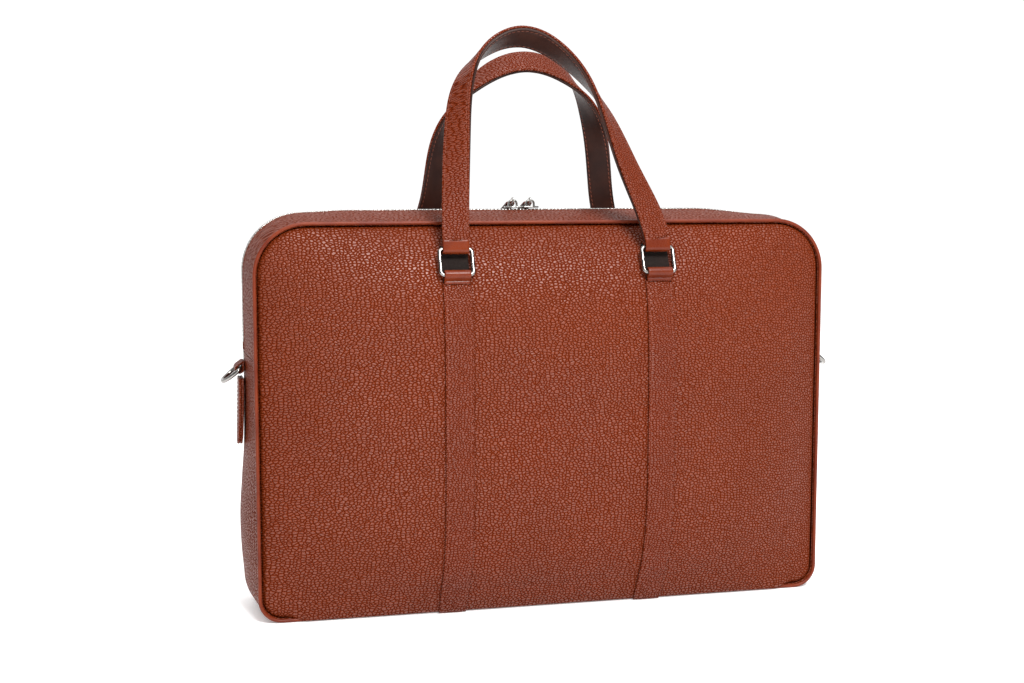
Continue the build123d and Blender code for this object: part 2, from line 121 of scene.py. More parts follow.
# ============================================================ finishes
class NodeSheet:
    """A short way to write one material's nodes."""

    def __init__(self, name: str) -> None:
        """Start an empty material with its output and shader."""
        self.material = bpy.data.materials.new(name)
        self.material.use_nodes = True
        self.tree = self.material.node_tree
        self.tree.nodes.clear()
        self.output = self.tree.nodes.new("ShaderNodeOutputMaterial")
        self.shader = self.tree.nodes.new("ShaderNodeBsdfPrincipled")
        self.link(self.shader.outputs["BSDF"], self.output.inputs["Surface"])

    def link(self, source: bpy.types.NodeSocket, target: bpy.types.NodeSocket) -> None:
        """Join two sockets."""
        self.tree.links.new(source, target)

    def put(
        self, kind: str, values: dict[str | int, object] | None = None, **settings: object
    ) -> bpy.types.Node:
        """Add a node.

        Args:
            kind: The node's type name.
            values: Socket names or numbers with a value or a socket to join.
            settings: Attributes of the node itself.

        Returns:
            The new node.
        """
        node = self.tree.nodes.new(kind)
        for key, value in settings.items():
            setattr(node, key, value)
        for key, value in (values or {}).items():
            if isinstance(value, bpy.types.NodeSocket):
                self.link(value, node.inputs[key])
            else:
                node.inputs[key].default_value = value
        return node

    def coordinates(self, stretch: Sequence[float] = (1, 1, 1)) -> bpy.types.NodeSocket:
        """The piece's own object coordinates, in metres, stretched along its axes."""
        source = self.put("ShaderNodeTexCoord").outputs["Object"]
        return self.put("ShaderNodeMapping", {"Vector": source, "Scale": stretch}).outputs["Vector"]

    def noise(self, vector: bpy.types.NodeSocket, scale: float, detail: float = 2.0) -> bpy.types.Node:
        """Add a noise texture."""
        return self.put("ShaderNodeTexNoise", {"Vector": vector, "Scale": scale, "Detail": detail})

    def ramp(
        self, value: bpy.types.NodeSocket, low: float, high: float, to_low: float = 0.0, to_high: float = 1.0
    ) -> bpy.types.NodeSocket:
        """Map a value smoothly from one span to another."""
        node = self.put(
            "ShaderNodeMapRange",
            {"Value": value, "From Min": low, "From Max": high, "To Min": to_low, "To Max": to_high},
            interpolation_type="SMOOTHSTEP",
        )
        return node.outputs["Result"]

    def math(self, operation: str, first: object, second: object = 0.5) -> bpy.types.NodeSocket:
        """Work out one sum."""
        return self.put("ShaderNodeMath", {0: first, 1: second}, operation=operation).outputs[0]

    def mix(self, share: object, first: object, second: object) -> bpy.types.NodeSocket:
        """Mix two colours."""
        node = self.put("ShaderNodeMix", data_type="RGBA")
        for number, value in ((0, share), (6, first), (7, second)):
            if isinstance(value, bpy.types.NodeSocket):
                self.link(value, node.inputs[number])
            else:
                node.inputs[number].default_value = value
        return node.outputs[2]

    def set(self, **values: object) -> None:
        """Set or join the shader's sockets, with underscores for the spaces in their names."""
        for key, value in values.items():
            socket = self.shader.inputs[key.replace("_", " ")]
            if isinstance(value, bpy.types.NodeSocket):
                self.link(value, socket)
            else:
                socket.default_value = value

    def bump(self, height: bpy.types.NodeSocket, strength: float, depth_mm: float) -> None:
        """Join a height to the shader's normal."""
        node = self.put("ShaderNodeBump", {"Height": height, "Strength": strength, "Distance": depth_mm * MM})
        self.link(node.outputs["Normal"], self.shader.inputs["Normal"])


def rgba(red: float, green: float, blue: float) -> tuple[float, float, float, float]:
    """A colour with full alpha."""
    return (red, green, blue, 1.0)


@dataclass(frozen=True)
class GrainLeather:
    """Leather with a pebbled grain, with painted shade darkening the hollows between its pebbles."""

    name: str
    top: tuple[float, float, float]
    # Colour of the hollows between the pebbles: painted shade.
    crease: tuple[float, float, float]
    grain_mm: float = 2.15
    depth_mm: float = 0.40
    roughness: float = 0.40
    stretch: tuple[float, float, float] = (0.8, 1.0, 1.15)
    sweep_mm: float = 80.0
    slant: float = 0.15
    dome_share: float = 0.36
    crease_share: float = 0.16
    pore_height: float = 0.12
    crease_specular: float = 0.02
    top_specular: float = 0.50

    def build(self) -> bpy.types.Material:
        """Make the material."""
        sheet = NodeSheet(self.name)
        place = self._drifted(sheet, sheet.coordinates(), self.sweep_mm, self.sweep_mm * 0.10)
        place = sheet.put("ShaderNodeMapping", {"Vector": place, "Scale": self.stretch}).outputs["Vector"]
        place = self._skewed(sheet, place)
        warped = self._drifted(sheet, place, self.grain_mm * 2.6, self.grain_mm * 0.9)
        pebble = sheet.put(
            "ShaderNodeTexVoronoi", {"Vector": warped, "Scale": 1000 / self.grain_mm, "Randomness": 0.9},
            feature="DISTANCE_TO_EDGE", voronoi_dimensions="2D",
        )
        tops = sheet.ramp(pebble.outputs["Distance"], 0.0, self.dome_share)
        # Mask of the hollows between the pebbles, which take the painted shade.
        crease_shade_mask = sheet.ramp(pebble.outputs["Distance"], 0.0, self.crease_share)
        pores = sheet.noise(place, 3200 / self.grain_mm, 2.0).outputs["Fac"]
        patches = sheet.noise(sheet.coordinates(), 16.0, 3.0).outputs["Fac"]
        height = sheet.math("MULTIPLY", tops, sheet.ramp(patches, 0.3, 0.7, 0.75, 1.0))
        height = sheet.math("ADD", height, sheet.math("MULTIPLY", pores, self.pore_height))
        sheet.bump(height, 1.0, self.depth_mm)
        # The hollows between the pebbles get a darker colour: painted shade.
        colour = sheet.mix(crease_shade_mask, rgba(*self.crease), rgba(*self.top))
        tint = sheet.ramp(patches, 0.25, 0.75, 0.93, 1.06)
        hue = sheet.put("ShaderNodeHueSaturation", {"Color": colour, "Value": tint})
        shine = sheet.ramp(tops, 0.2, 1.0, self.crease_specular, self.top_specular)
        sheet.set(Base_Color=hue.outputs["Color"], Specular_IOR_Level=shine)
        sheet.set(Roughness=sheet.ramp(tops, 0.0, 0.9, self.roughness + 0.1, self.roughness))
        return sheet.material

    def _skewed(self, sheet: NodeSheet, vector: bpy.types.NodeSocket) -> bpy.types.NodeSocket:
        """Lay coordinates flat, slanting the depth so that the sides and the top get whole cells too."""
        parts = sheet.put("ShaderNodeSeparateXYZ", {"Vector": vector}).outputs
        depth = sheet.math("MULTIPLY", parts["Y"], self.slant)
        flat = {name: sheet.math("ADD", parts[axis], depth) for name, axis in (("X", "X"), ("Y", "Z"))}
        return sheet.put("ShaderNodeCombineXYZ", flat).outputs["Vector"]

    def _drifted(
        self, sheet: NodeSheet, vector: bpy.types.NodeSocket, span_mm: float, reach_mm: float
    ) -> bpy.types.NodeSocket:
        """Push coordinates about by up to reach_mm, changing over span_mm."""
        push = sheet.noise(vector, 1000 / span_mm, 2.0).outputs["Color"]
        kind, middle = "ShaderNodeVectorMath", (0.5, 0.5, 0.5)
        push = sheet.put(kind, {0: push, 1: middle}, operation="SUBTRACT").outputs[0]
        push = sheet.put(kind, {0: push, "Scale": reach_mm * MM}, operation="SCALE").outputs[0]
        return sheet.put(kind, {0: vector, 1: push}, operation="ADD").outputs[0]


@dataclass(frozen=True)
class SmoothLeather:
    """Smooth leather with fine pores and faint streaks, as on linings, pipings and painted edges."""

    name: str
    colour: tuple[float, float, float]
    dark: tuple[float, float, float]
    roughness: float = 0.4
    pore_scale: float = 1300.0
    strength: float = 0.25

    def build(self) -> bpy.types.Material:
        """Make the material."""
        sheet = NodeSheet(self.name)
        place = sheet.coordinates()
        pores = sheet.noise(place, self.pore_scale, 3.0).outputs["Fac"]
        streaks = sheet.noise(place, 55.0, 3.0).outputs["Fac"]
        sheet.bump(sheet.math("ADD", pores, sheet.math("MULTIPLY", streaks, 0.6)), self.strength, 0.15)
        share = sheet.math("MULTIPLY", sheet.ramp(streaks, 0.3, 0.7), sheet.ramp(pores, 0.2, 0.7, 0.55, 1.0))
        sheet.set(Base_Color=sheet.mix(share, rgba(*self.dark), rgba(*self.colour)))
        sheet.set(Roughness=sheet.ramp(pores, 0.3, 0.7, self.roughness + 0.1, self.roughness - 0.04))
        sheet.set(Specular_IOR_Level=0.22)
        return sheet.material


@dataclass(frozen=True)
class WovenCloth:
    """A plain weave, in threads that cross on the piece's own axes."""

    name: str
    thread: tuple[float, float, float]
    gap: tuple[float, float, float]
    pitch_mm: float = 0.7
    roughness: float = 0.85

    def build(self) -> bpy.types.Material:
        """Make the material."""
        sheet = NodeSheet(self.name)
        place = sheet.coordinates()
        turns = 1000 * math.tau / self.pitch_mm / 20
        waves = []
        for axis in ("X", "Y", "Z"):
            wave = sheet.put(
                "ShaderNodeTexWave", {"Vector": place, "Scale": turns / 6.0, "Distortion": 0.4},
                bands_direction=axis,
            )
            waves.append(wave.outputs["Fac"])
        crossed, raised = sheet.math("MULTIPLY", waves[0], waves[2]), sheet.math("MULTIPLY", waves[1], 0.5)
        height = sheet.math("ADD", crossed, raised)
        sheet.bump(height, 0.5, 0.2)
        wear = sheet.noise(place, 90.0, 3.0).outputs["Fac"]
        share = sheet.math("MULTIPLY", sheet.ramp(height, 0.0, 1.0), sheet.ramp(wear, 0.2, 0.8, 0.6, 1.0))
        sheet.set(Base_Color=sheet.mix(share, rgba(*self.gap), rgba(*self.thread)), Roughness=self.roughness)
        sheet.set(Sheen_Weight=0.15, Sheen_Roughness=0.5)
        return sheet.material


@dataclass(frozen=True)
class PolishedMetal:
    """Plated metal with faint handling marks."""

    name: str
    colour: tuple[float, float, float]
    roughness: float = 0.14

    def build(self) -> bpy.types.Material:
        """Make the material."""
        sheet = NodeSheet(self.name)
        place = sheet.coordinates()
        marks = sheet.noise(place, 700.0, 4.0).outputs["Fac"]
        cloud = sheet.noise(place, 60.0, 2.0).outputs["Fac"]
        dull = tuple(part * 0.82 for part in self.colour)
        colour = sheet.mix(sheet.ramp(cloud, 0.3, 0.7), rgba(*dull), rgba(*self.colour))
        sheet.set(Base_Color=colour, Metallic=1.0)
        sheet.set(Roughness=sheet.ramp(marks, 0.35, 0.75, self.roughness, self.roughness + 0.12))
        sheet.bump(marks, 0.08, 0.05)
        return sheet.material


@dataclass(frozen=True)
class SewingThread:
    """Waxed thread with its twist."""

    name: str
    colour: tuple[float, float, float]

    def build(self) -> bpy.types.Material:
        """Make the material."""
        sheet = NodeSheet(self.name)
        place = sheet.coordinates((1.0, 1.0, 0.6))
        twist = sheet.noise(place, 2600.0, 2.0).outputs["Fac"]
        dark = tuple(part * 0.6 for part in self.colour)
        sheet.set(Base_Color=sheet.mix(sheet.ramp(twist, 0.3, 0.7), rgba(*dark), rgba(*self.colour)))
        sheet.set(Roughness=sheet.ramp(twist, 0.3, 0.7, 0.62, 0.5))
        sheet.bump(twist, 0.5, 0.12)
        return sheet.material


@dataclass(frozen=True)
class PressedBoard:
    """Grey-brown pressed fibre."""

    name: str
    colour: tuple[float, float, float]

    def build(self) -> bpy.types.Material:
        """Make the material."""
        sheet = NodeSheet(self.name)
        fibres = sheet.noise(sheet.coordinates((1.0, 1.0, 3.0)), 420.0, 4.0).outputs["Fac"]
        dark = tuple(part * 0.7 for part in self.colour)
        colour = sheet.mix(sheet.ramp(fibres, 0.3, 0.7), rgba(*dark), rgba(*self.colour))
        sheet.set(Base_Color=colour, Roughness=0.8)
        sheet.bump(fibres, 0.4, 0.2)
        return sheet.material


@dataclass(frozen=True)
class Finishes:
    """Every finish on the briefcase."""

    leather: bpy.types.Material
    gusset_leather: bpy.types.Material
    strap_leather: bpy.types.Material
    piping: bpy.types.Material
    # The handle's lining leather, its dark colour partly the lining's own and partly painted shade of the
    # handle's underside.
    dark_leather: bpy.types.Material
    # A near-black finish that paints the shade behind each strap ring.
    backing_leather: bpy.types.Material
    loop_leather: bpy.types.Material
    thread: bpy.types.Material
    board: bpy.types.Material
    lining: bpy.types.Material
    padding: bpy.types.Material
    tape: bpy.types.Material
    zip_metal: bpy.types.Material
    ring_metal: bpy.types.Material

    @classmethod
    def make(cls) -> Finishes:
        """Build every material once."""
        # The second colour is painted shade for the hollows between the pebbles of the grain.
        cognac, crease = (0.150, 0.0225, 0.004), (0.056, 0.0055, 0.0008)
        return cls(
            leather=GrainLeather("cognac grain", cognac, crease).build(),
            gusset_leather=GrainLeather("cognac gusset grain", cognac, crease, slant=1.0).build(),
            strap_leather=GrainLeather(
                "cognac strap grain", (0.140, 0.0205, 0.004), crease, 1.8, 0.30, 0.40, slant=0.5
            ).build(),
            piping=SmoothLeather("piping leather", (0.17, 0.025, 0.005), (0.11, 0.013, 0.003)).build(),
            # Dark lining leather, darkened further as painted shade of the handle's underside.
            dark_leather=SmoothLeather("handle lining", (0.036, 0.010, 0.005), (0.018, 0.005, 0.003)).build(),
            # Near-black and very rough: painted shade behind the strap rings.
            backing_leather=SmoothLeather(
                "ring backing", (0.012, 0.005, 0.003), (0.006, 0.003, 0.002), 0.8
            ).build(),
            loop_leather=SmoothLeather(
                "loop leather", (0.150, 0.022, 0.004), (0.10, 0.012, 0.002), 0.28
            ).build(),
            thread=SewingThread("brown thread", (0.21, 0.045, 0.018)).build(),
            board=PressedBoard("fibre board", (0.30, 0.27, 0.22)).build(),
            lining=WovenCloth("lining cloth", (0.24, 0.20, 0.155), (0.12, 0.10, 0.08)).build(),
            padding=WovenCloth("padded cloth", (0.19, 0.16, 0.13), (0.09, 0.075, 0.06)).build(),
            tape=WovenCloth("zip tape", (0.10, 0.045, 0.028), (0.04, 0.018, 0.012), 0.5).build(),
            zip_metal=PolishedMetal("zip nickel", (0.50, 0.49, 0.47), 0.24).build(),
            ring_metal=PolishedMetal("ring nickel", (0.30, 0.285, 0.27), 0.16).build(),
        )


# ============================================================ mesh tools
def steps(low: float, high: float, count: int) -> list[float]:
    """Evenly spaced values from low to high, both included, in count steps."""
    return [low + (high - low) * i / count for i in range(count + 1)]


def smooth(share: float) -> float:
    """Ease a share in and out, held between 0 and 1."""
    share = min(1.0, max(0.0, share))
    return share * share * (3 - 2 * share)


def wobble(point: Vector, size_mm: float, seed: float = 0.0) -> float:
    """A smooth random value from about -1 to 1 that changes over size_mm."""
    return noise.noise(Vector((point.x / size_mm + seed, point.y / size_mm, point.z / size_mm)))


def surface(work: bmesh.types.BMesh, along: Sequence[float], across: Sequence[float], place: Place) -> None:
    """Shape a grid into a surface.

    Args:
        work: The mesh to add it to.
        along: The first parameter's values, one for each row of the grid.
        across: The second parameter's values.
        place: The point for a pair of values.
    """
    grid = bmesh.ops.create_grid(work, x_segments=len(along) - 1, y_segments=len(across) - 1, size=0.5)
    for vert in grid["verts"]:
        row = round((vert.co.x + 0.5) * (len(along) - 1))
        column = round((vert.co.y + 0.5) * (len(across) - 1))
        vert.co = place(along[row], across[column])


def weld(work: bmesh.types.BMesh, distance: float = 0.004, cap: bool = False) -> None:
    """Merge doubled points, close open ends if asked, and turn the faces outwards."""
    bmesh.ops.remove_doubles(work, verts=work.verts, dist=distance)
    if cap:
        rim = [edge for edge in work.edges if edge.is_boundary]
        bmesh.ops.holes_fill(work, edges=rim, sides=0)
    bmesh.ops.recalc_face_normals(work, faces=work.faces)


def piece(
    name: str,
    work: bmesh.types.BMesh,
    finish: bpy.types.Material,
    body: str,
    slot: Slot,
    replaces: Sequence[str] = (),
    flat: bool = False,
) -> bpy.types.Object:
    """Turn a mesh in millimetres into a finished piece.

    Args:
        name: The piece's name.
        work: Its mesh, which is freed.
        finish: Its material.
        body: The body that it moves with.
        slot: The record's slot for its finish; not used.
        replaces: The frame's nodes that it stands for.
        flat: Whether its faces keep their hard edges.

    Returns:
        The new object.
    """
    bmesh.ops.scale(work, vec=(MM, MM, MM), verts=work.verts)
    for face in work.faces:
        face.smooth = not flat
    mesh = bpy.data.meshes.new(name)
    work.to_mesh(mesh)
    work.free()
    mesh.materials.append(finish)
    made = bpy.data.objects.new(name, mesh)
    bpy.context.scene.collection.objects.link(made)
    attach(made, body)
    if replaces:
        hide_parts(*replaces)
    LOG.info("%s: %d faces, rides on %s", name, len(mesh.polygons), body)
    return made


def ply_section(
    width: float, thickness: float, radius: float, across: int = 14, corner: int = 3
) -> list[Point2]:
    """The outline of a strip of leather seen from its end, with rounded edges, as a closed loop.

    Args:
        width: From edge to edge.
        thickness: From face to face.
        radius: Of the rounded edges.
        across: How many steps each face has.
        corner: How many steps each rounded edge has.

    Returns:
        Points of (across, up), the first and the last the same, from the left of the upper face.
    """
    half_w, half_t = width / 2 - radius, thickness / 2 - radius
    loop = [(x, thickness / 2) for x in steps(-half_w, half_w, across)]
    corners = (
        (half_w, half_t, 90.0), (half_w, -half_t, 0.0), (-half_w, -half_t, -90.0), (-half_w, half_t, -180.0),
    )
    for index, (x, y, start) in enumerate(corners):
        for i in range(1, corner + 1):
            angle = math.radians(start - 90.0 * i / corner)
            loop.append((x + radius * math.cos(angle), y + radius * math.sin(angle)))
        if index == 1:
            loop += [(a, -thickness / 2) for a in steps(half_w, -half_w, max(2, across // 2))[1:]]
    return loop


def swept_piece(
    name: str, along: Sequence[float], section: Sequence[Point2],
    place: Callable[[float, float, float], Vector], finish: bpy.types.Material, body: str, slot: Slot,
    replaced: Sequence[str] = (),
) -> bpy.types.Object:
    """Make a closed piece that carries one section along a run.

    Args:
        name: The piece's name.
        along: The stations of the run.
        section: The section's points, in order.
        place: From a station and a section point to the case.
        finish: Its material.
        body: The body that it moves with.
        slot: The record's material slot.
        replaced: The frame's nodes that it stands for.

    Returns:
        The new object.
    """
    work = bmesh.new()
    surface(work, along, count(section), indexed(section, place))
    weld(work, cap=True)
    return piece(name, work, finish, body, slot, replaced)


def indexed(points: Sequence[Point2], place: Callable[[float, float, float], Vector]) -> Place:
    """Let a surface's second parameter count along a list of section points."""
    return lambda u, v: place(u, *points[round(v)])


def count(points: Sequence[object]) -> list[float]:
    """The numbers of a list's members."""
    return [float(i) for i in range(len(points))]


def rounded_path(points: Sequence[Point2], radii: Sequence[float], arc_steps: int = 8) -> list[Point2]:
    """A closed outline with rounded corners, the first point repeated at its end.

    Args:
        points: The sharp corners, in order.
        radii: One radius for each corner.
        arc_steps: How many steps each rounded corner has.

    Returns:
        The points along the outline.
    """
    path: list[Point2] = []
    total = len(points)
    for i, radius in enumerate(radii):
        corner = Vector(points[i])
        back = (Vector(points[i - 1]) - corner).normalized()
        ahead = (Vector(points[(i + 1) % total]) - corner).normalized()
        half = back.angle(ahead) / 2
        centre = corner + (back + ahead).normalized() * (radius / math.sin(half))
        first = corner + back * (radius / math.tan(half)) - centre
        last = corner + ahead * (radius / math.tan(half)) - centre
        turn = first.angle_signed(last)
        for step in range(arc_steps + 1):
            spoke = Matrix.Rotation(-turn * step / arc_steps, 2) @ first
            path.append(tuple(centre + spoke))
    path.append(path[0])
    return path


def wire_loop(
    work: bmesh.types.BMesh, path: Sequence[Point2], radius: float, frame: Matrix, sides: int = 16,
    flatten: float = 1.0,
) -> None:
    """Add round wire along a closed flat path.

    Args:
        work: The mesh to add it to.
        path: The wire's centre line in its own plane, the first point repeated at its end.
        radius: The wire's.
        frame: From the path's plane, whose normal is its third axis, to the case.
        sides: How many sides the wire has.
        flatten: How thick the wire is across its plane, as a share of its width.
    """
    last = len(path) - 1

    def at(index: float, turn: float) -> Vector:
        """One point of the surface."""
        here = Vector(path[round(index) % last])
        before, after = Vector(path[(round(index) - 1) % last]), Vector(path[(round(index) + 1) % last])
        run = (after - before).normalized()
        out = Vector((run.y, -run.x))
        flat = here + out * (radius * math.cos(turn))
        return frame @ Vector((flat.x, flat.y, radius * flatten * math.sin(turn)))

    surface(work, count(path), steps(0.0, math.tau, sides), at)


def cut_shape(
    corners: Sequence[Point2], radii: Sequence[float], thickness: float, edge: float, rows: int = 0
) -> bmesh.types.BMesh:
    """A flat piece cut from sheet, with rounded corners and softened rims, lying on its own XY plane.

    Args:
        corners: The sharp corners, in order.
        radii: One radius for each corner.
        thickness: Of the sheet, half above the plane and half below.
        edge: How far the rims are softened.
        rows: How many cuts cross it from side to side, so that it can be bent.

    Returns:
        The mesh.
    """
    work = bmesh.new()
    path = rounded_path(corners, radii, 8)[:-1]
    rim = [work.verts.new((x, y, -thickness / 2)) for x, y in path]
    work.faces.new(rim)
    risen = bmesh.ops.extrude_face_region(work, geom=work.faces[:])
    lifted = [item for item in risen["geom"] if isinstance(item, bmesh.types.BMVert)]
    bmesh.ops.translate(work, vec=(0, 0, thickness), verts=lifted)
    weld(work)
    sharp = [e for e in work.edges if abs(e.verts[0].co.z - e.verts[1].co.z) < 1e-6]
    bmesh.ops.bevel(work, geom=sharp, offset=edge, segments=3, profile=0.5, affect="EDGES", material=-1)
    low, high = min(y for _, y in path), max(y for _, y in path)
    for y in steps(low, high, rows)[1:-1] if rows else ():
        everything = work.verts[:] + work.edges[:] + work.faces[:]
        bmesh.ops.bisect_plane(work, geom=everything, plane_co=(0, y, 0), plane_no=(0, 1, 0), dist=1e-5)
    return work


@dataclass
class Stitching:
    """A row of separate stitches sunk into leather."""

    pitch: float = 3.4
    length: float = 2.7
    width: float = 0.62
    rise: float = 0.42

    def sew(self, work: bmesh.types.BMesh, points: Sequence[Vector], up: Sequence[Vector]) -> None:
        """Add stitches along a line.

        Args:
            work: The mesh that takes them.
            points: The line, on the leather's surface.
            up: The surface's outward direction at each point.
        """
        travelled = 0.0
        due = self.pitch / 2
        for i in range(1, len(points)):
            run = points[i] - points[i - 1]
            reach = run.length
            while reach > 0 and travelled + reach >= due:
                share = (due - travelled) / reach
                place = points[i - 1].lerp(points[i], share)
                normal = up[i - 1].lerp(up[i], share).normalized()
                self._stitch(work, place, run.normalized(), normal)
                due += self.pitch
            travelled += reach

    def _stitch(self, work: bmesh.types.BMesh, place: Vector, run: Vector, normal: Vector) -> None:
        """Add one stitch, slightly turned off its line as a machine lays it."""
        side = normal.cross(run).normalized()
        run = (run + side * 0.12).normalized()
        side = normal.cross(run).normalized()
        turn = Matrix((run, side, normal)).transposed().to_4x4()
        size = Matrix.Diagonal((self.length / 2, self.width / 2, self.rise / 2, 1.0))
        matrix = Matrix.Translation(place + normal * self.rise * 0.1) @ turn @ size
        bmesh.ops.create_uvsphere(work, u_segments=6, v_segments=5, radius=1.0, matrix=matrix @ POLE_ALONG)


POLE_ALONG = Matrix.Rotation(math.radians(90), 4, "Y")


# ============================================================ the case's form
@dataclass(frozen=True)
class Outline:
    """An upright rounded rectangle with its own radii at top and bottom."""

    half_width: float
    bottom: float
    top: float
    bottom_radius: float
    top_radius: float

    def at(self, u: float) -> tuple[Vector, Vector]:
        """A point on the outline and its outward direction.

        Args:
            u: From 0 to 8. Its whole part picks the bottom, the lower right corner, the right side and so on
                anticlockwise seen from the front, and the rest is the share along that part.

        Returns:
            The point and the direction, with no Y.
        """
        part, share = math.floor(u) % 8, u - math.floor(u)
        w, rb, rt = self.half_width, self.bottom_radius, self.top_radius
        runs = {
            0: ((-w + rb, self.bottom), (w - rb, self.bottom), (0, -1)),
            2: ((w, self.bottom + rb), (w, self.top - rt), (1, 0)),
            4: ((w - rt, self.top), (-w + rt, self.top), (0, 1)),
            6: ((-w, self.top - rt), (-w, self.bottom + rb), (-1, 0)),
        }
        if part in runs:
            start, end, out = runs[part]
            x, z = (a + (b - a) * share for a, b in zip(start, end))
            return Vector((x, 0, z)), Vector((out[0], 0, out[1]))
        centres = {
            1: (w - rb, self.bottom + rb, rb, -90),
            3: (w - rt, self.top - rt, rt, 0),
            5: (-w + rt, self.top - rt, rt, 90),
            7: (-w + rb, self.bottom + rb, rb, 180),
        }
        x, z, radius, start_angle = centres[part]
        angle = math.radians(start_angle + 90 * share)
        out_dir = Vector((math.cos(angle), 0, math.sin(angle)))
        return Vector((x, 0, z)) + out_dir * radius, out_dir

    def inset(self, x: float, z: float) -> float:
        """How far a point lies inside the outline."""
        middle = (self.bottom + self.top) / 2
        radius = self.top_radius if z > middle else self.bottom_radius
        over_x = abs(x) - (self.half_width - radius)
        over_z = abs(z - middle) - ((self.top - self.bottom) / 2 - radius)
        outside = math.hypot(max(over_x, 0), max(over_z, 0)) + min(max(over_x, over_z), 0)
        return radius - outside


@dataclass
class CaseForm:
    """The filled case's shape, read from the frame's nodes."""

    crown_power: float = 1.6
    fullness: int = 4
    top_corner: float = 38.0
    bottom_corner: float = 17.0
    top_softening: float = 4.0
    bottom_softening: float = 12.0
    base_sag: float = 3.0
    leather: float = 1.6
    tuck: float = 0.55
    side_slack: float = 4.5
    slack_height: float = 65.0
    slack_reach: float = 45.0
    right_drop: float = 5.0
    left_drop: float = 2.0
    right_drop_from: float = 121.0
    left_drop_from: float = 135.0
    drop_run: float = 60.0
    foot_height: float = 16.0
    foot_out: float = 3.2
    foot_down: float = 2.2
    foot_half_width: float = 176.0
    shoulder_width: float = 2.8
    shoulder_depth: float = 2.4
    slope_width: float = 9.0
    slope_depth: float = 0.9
    half_width: float = field(init=False)
    top: float = field(init=False)
    edge_y: float = field(init=False)
    piping_radius: float = field(init=False)
    bulge: float = field(init=False)
    panel_half_width: float = field(init=False)
    panel_low: float = field(init=False)
    panel_high: float = field(init=False)
    gusset_y: float = field(init=False)
    side_crown: float = field(init=False)
    top_crown: float = field(init=False)
    zip_end: float = field(init=False)

    def __post_init__(self) -> None:
        """Measure the frame."""
        low, high = box_mm("front_piping")
        self.half_width, self.top = high.x, high.z
        self.piping_radius = (high.y - low.y) / 2
        self.edge_y = -(low.y + high.y) / 2
        low, high = box_mm("front_panel")
        self.panel_half_width, self.panel_low, self.panel_high = high.x, low.z, high.z
        self.bulge = -low.y - self.edge_y
        low, high = box_mm("base_and_side_gusset")
        self.gusset_y = self.edge_y - self.piping_radius + self.tuck
        self.side_crown = high.x - self.half_width + self.piping_radius
        self.zip_end = high.z
        low, high = box_mm("front_zip_strip")
        self.top_crown = high.z - self.top + self.piping_radius

    def slice(self, y: float) -> Outline:
        """The gusset's outline at one distance from the middle of the case."""
        crown = 1 - min(abs(y) / self.gusset_y, 1.0) ** self.crown_power
        edge = self.piping_radius
        return Outline(
            self.half_width - edge + self.side_crown * crown,
            edge - self.base_sag * crown,
            self.top - edge + self.top_crown * crown,
            self.bottom_corner - edge + self.bottom_softening * crown,
            self.top_corner - edge + self.top_softening * crown,
        )

    def gusset_point(self, u: float, y: float, lift: float) -> Vector:
        """A point on or under the gusset.

        Args:
            u: The place along the outline, as Outline.at takes it.
            y: The distance from the middle of the case.
            lift: How far out from the leather's face.

        Returns:
            The point, never below the ground.
        """
        point, out = self.slice(y).at(u)
        crown = 1 - min(abs(y) / self.gusset_y, 1.0) ** self.crown_power
        lift += crown * self._slack(point, out)
        point = point + out * lift
        return Vector((point.x, y, max(point.z, -min(lift, 0.0))))

    def _slack(self, point: Vector, out: Vector) -> float:
        """How far out the loose leather stands low on the sides, less its drop at the top corners."""
        height = (point.z - self.slack_height) / self.slack_reach
        low = self.side_slack * math.exp(-(height**2)) * abs(out.x)
        right = smooth((point.x - self.right_drop_from) / self.drop_run) * self.right_drop
        left = smooth((-point.x - self.left_drop_from) / self.drop_run) * self.left_drop
        return low - (right + left) * max(out.z, 0.0)

    def panel_outline(self) -> Outline:
        """The edge of a panel, inside its piping."""
        inset = self.half_width - self.panel_half_width
        return Outline(
            self.panel_half_width,
            self.panel_low,
            self.panel_high,
            self.bottom_corner - inset,
            self.top_corner - inset,
        )

    def panel_point(self, x: float, z: float, side: Side, up: float = 0.0) -> Vector:
        """A point on or over a panel's leather, with its turned edge and the roll of its foot.

        Args:
            x: The place across the panel.
            z: The height on the flat sheet.
            side: Which panel.
            up: The distance out from its face.

        Returns:
            The point on the filled case.
        """
        inset = self.panel_outline().inset(x, z)
        roll = max(0.0, 1 - (z - self.panel_low) / self.foot_height)
        roll *= smooth(1 - (abs(x) - self.foot_half_width) / 18.0)
        edge = self.shoulder_depth * max(0.0, 1 - inset / self.shoulder_width) ** 2
        edge += self.slope_depth * max(0.0, 1 - inset / self.slope_width) ** 2
        y = self.panel_depth(x, z) - edge * (1 - 0.8 * min(roll * 2, 1.0)) + self.foot_out * roll + up
        flat = Vector((x, 0, z))
        settle = min(1.0, max(0.0, inset / 25.0))
        y += settle * (0.35 * wobble(flat, 95.0, 3.0) + 0.12 * wobble(flat, 28.0, 9.0))
        return Vector((x, side.value * y, z - self.foot_down * roll ** 2))

    def piping_outline(self, r: float) -> Outline:
        """The centre line of a piping of radius r that keeps the outer edge of the case."""
        low = r + 0.15
        return Outline(self.half_width - r, low, self.top - r, self.bottom_corner - r, self.top_corner - r)

    def panel_depth(self, x: float, z: float) -> float:
        """How far a panel's face stands from the middle of the case."""
        middle, half = (self.panel_low + self.panel_high) / 2, (self.panel_high - self.panel_low) / 2
        across = max(0.0, 1 - abs(x / self.panel_half_width) ** self.fullness)
        up = max(0.0, 1 - abs((z - middle) / half) ** self.fullness)
        return self.edge_y + self.bulge * across * up

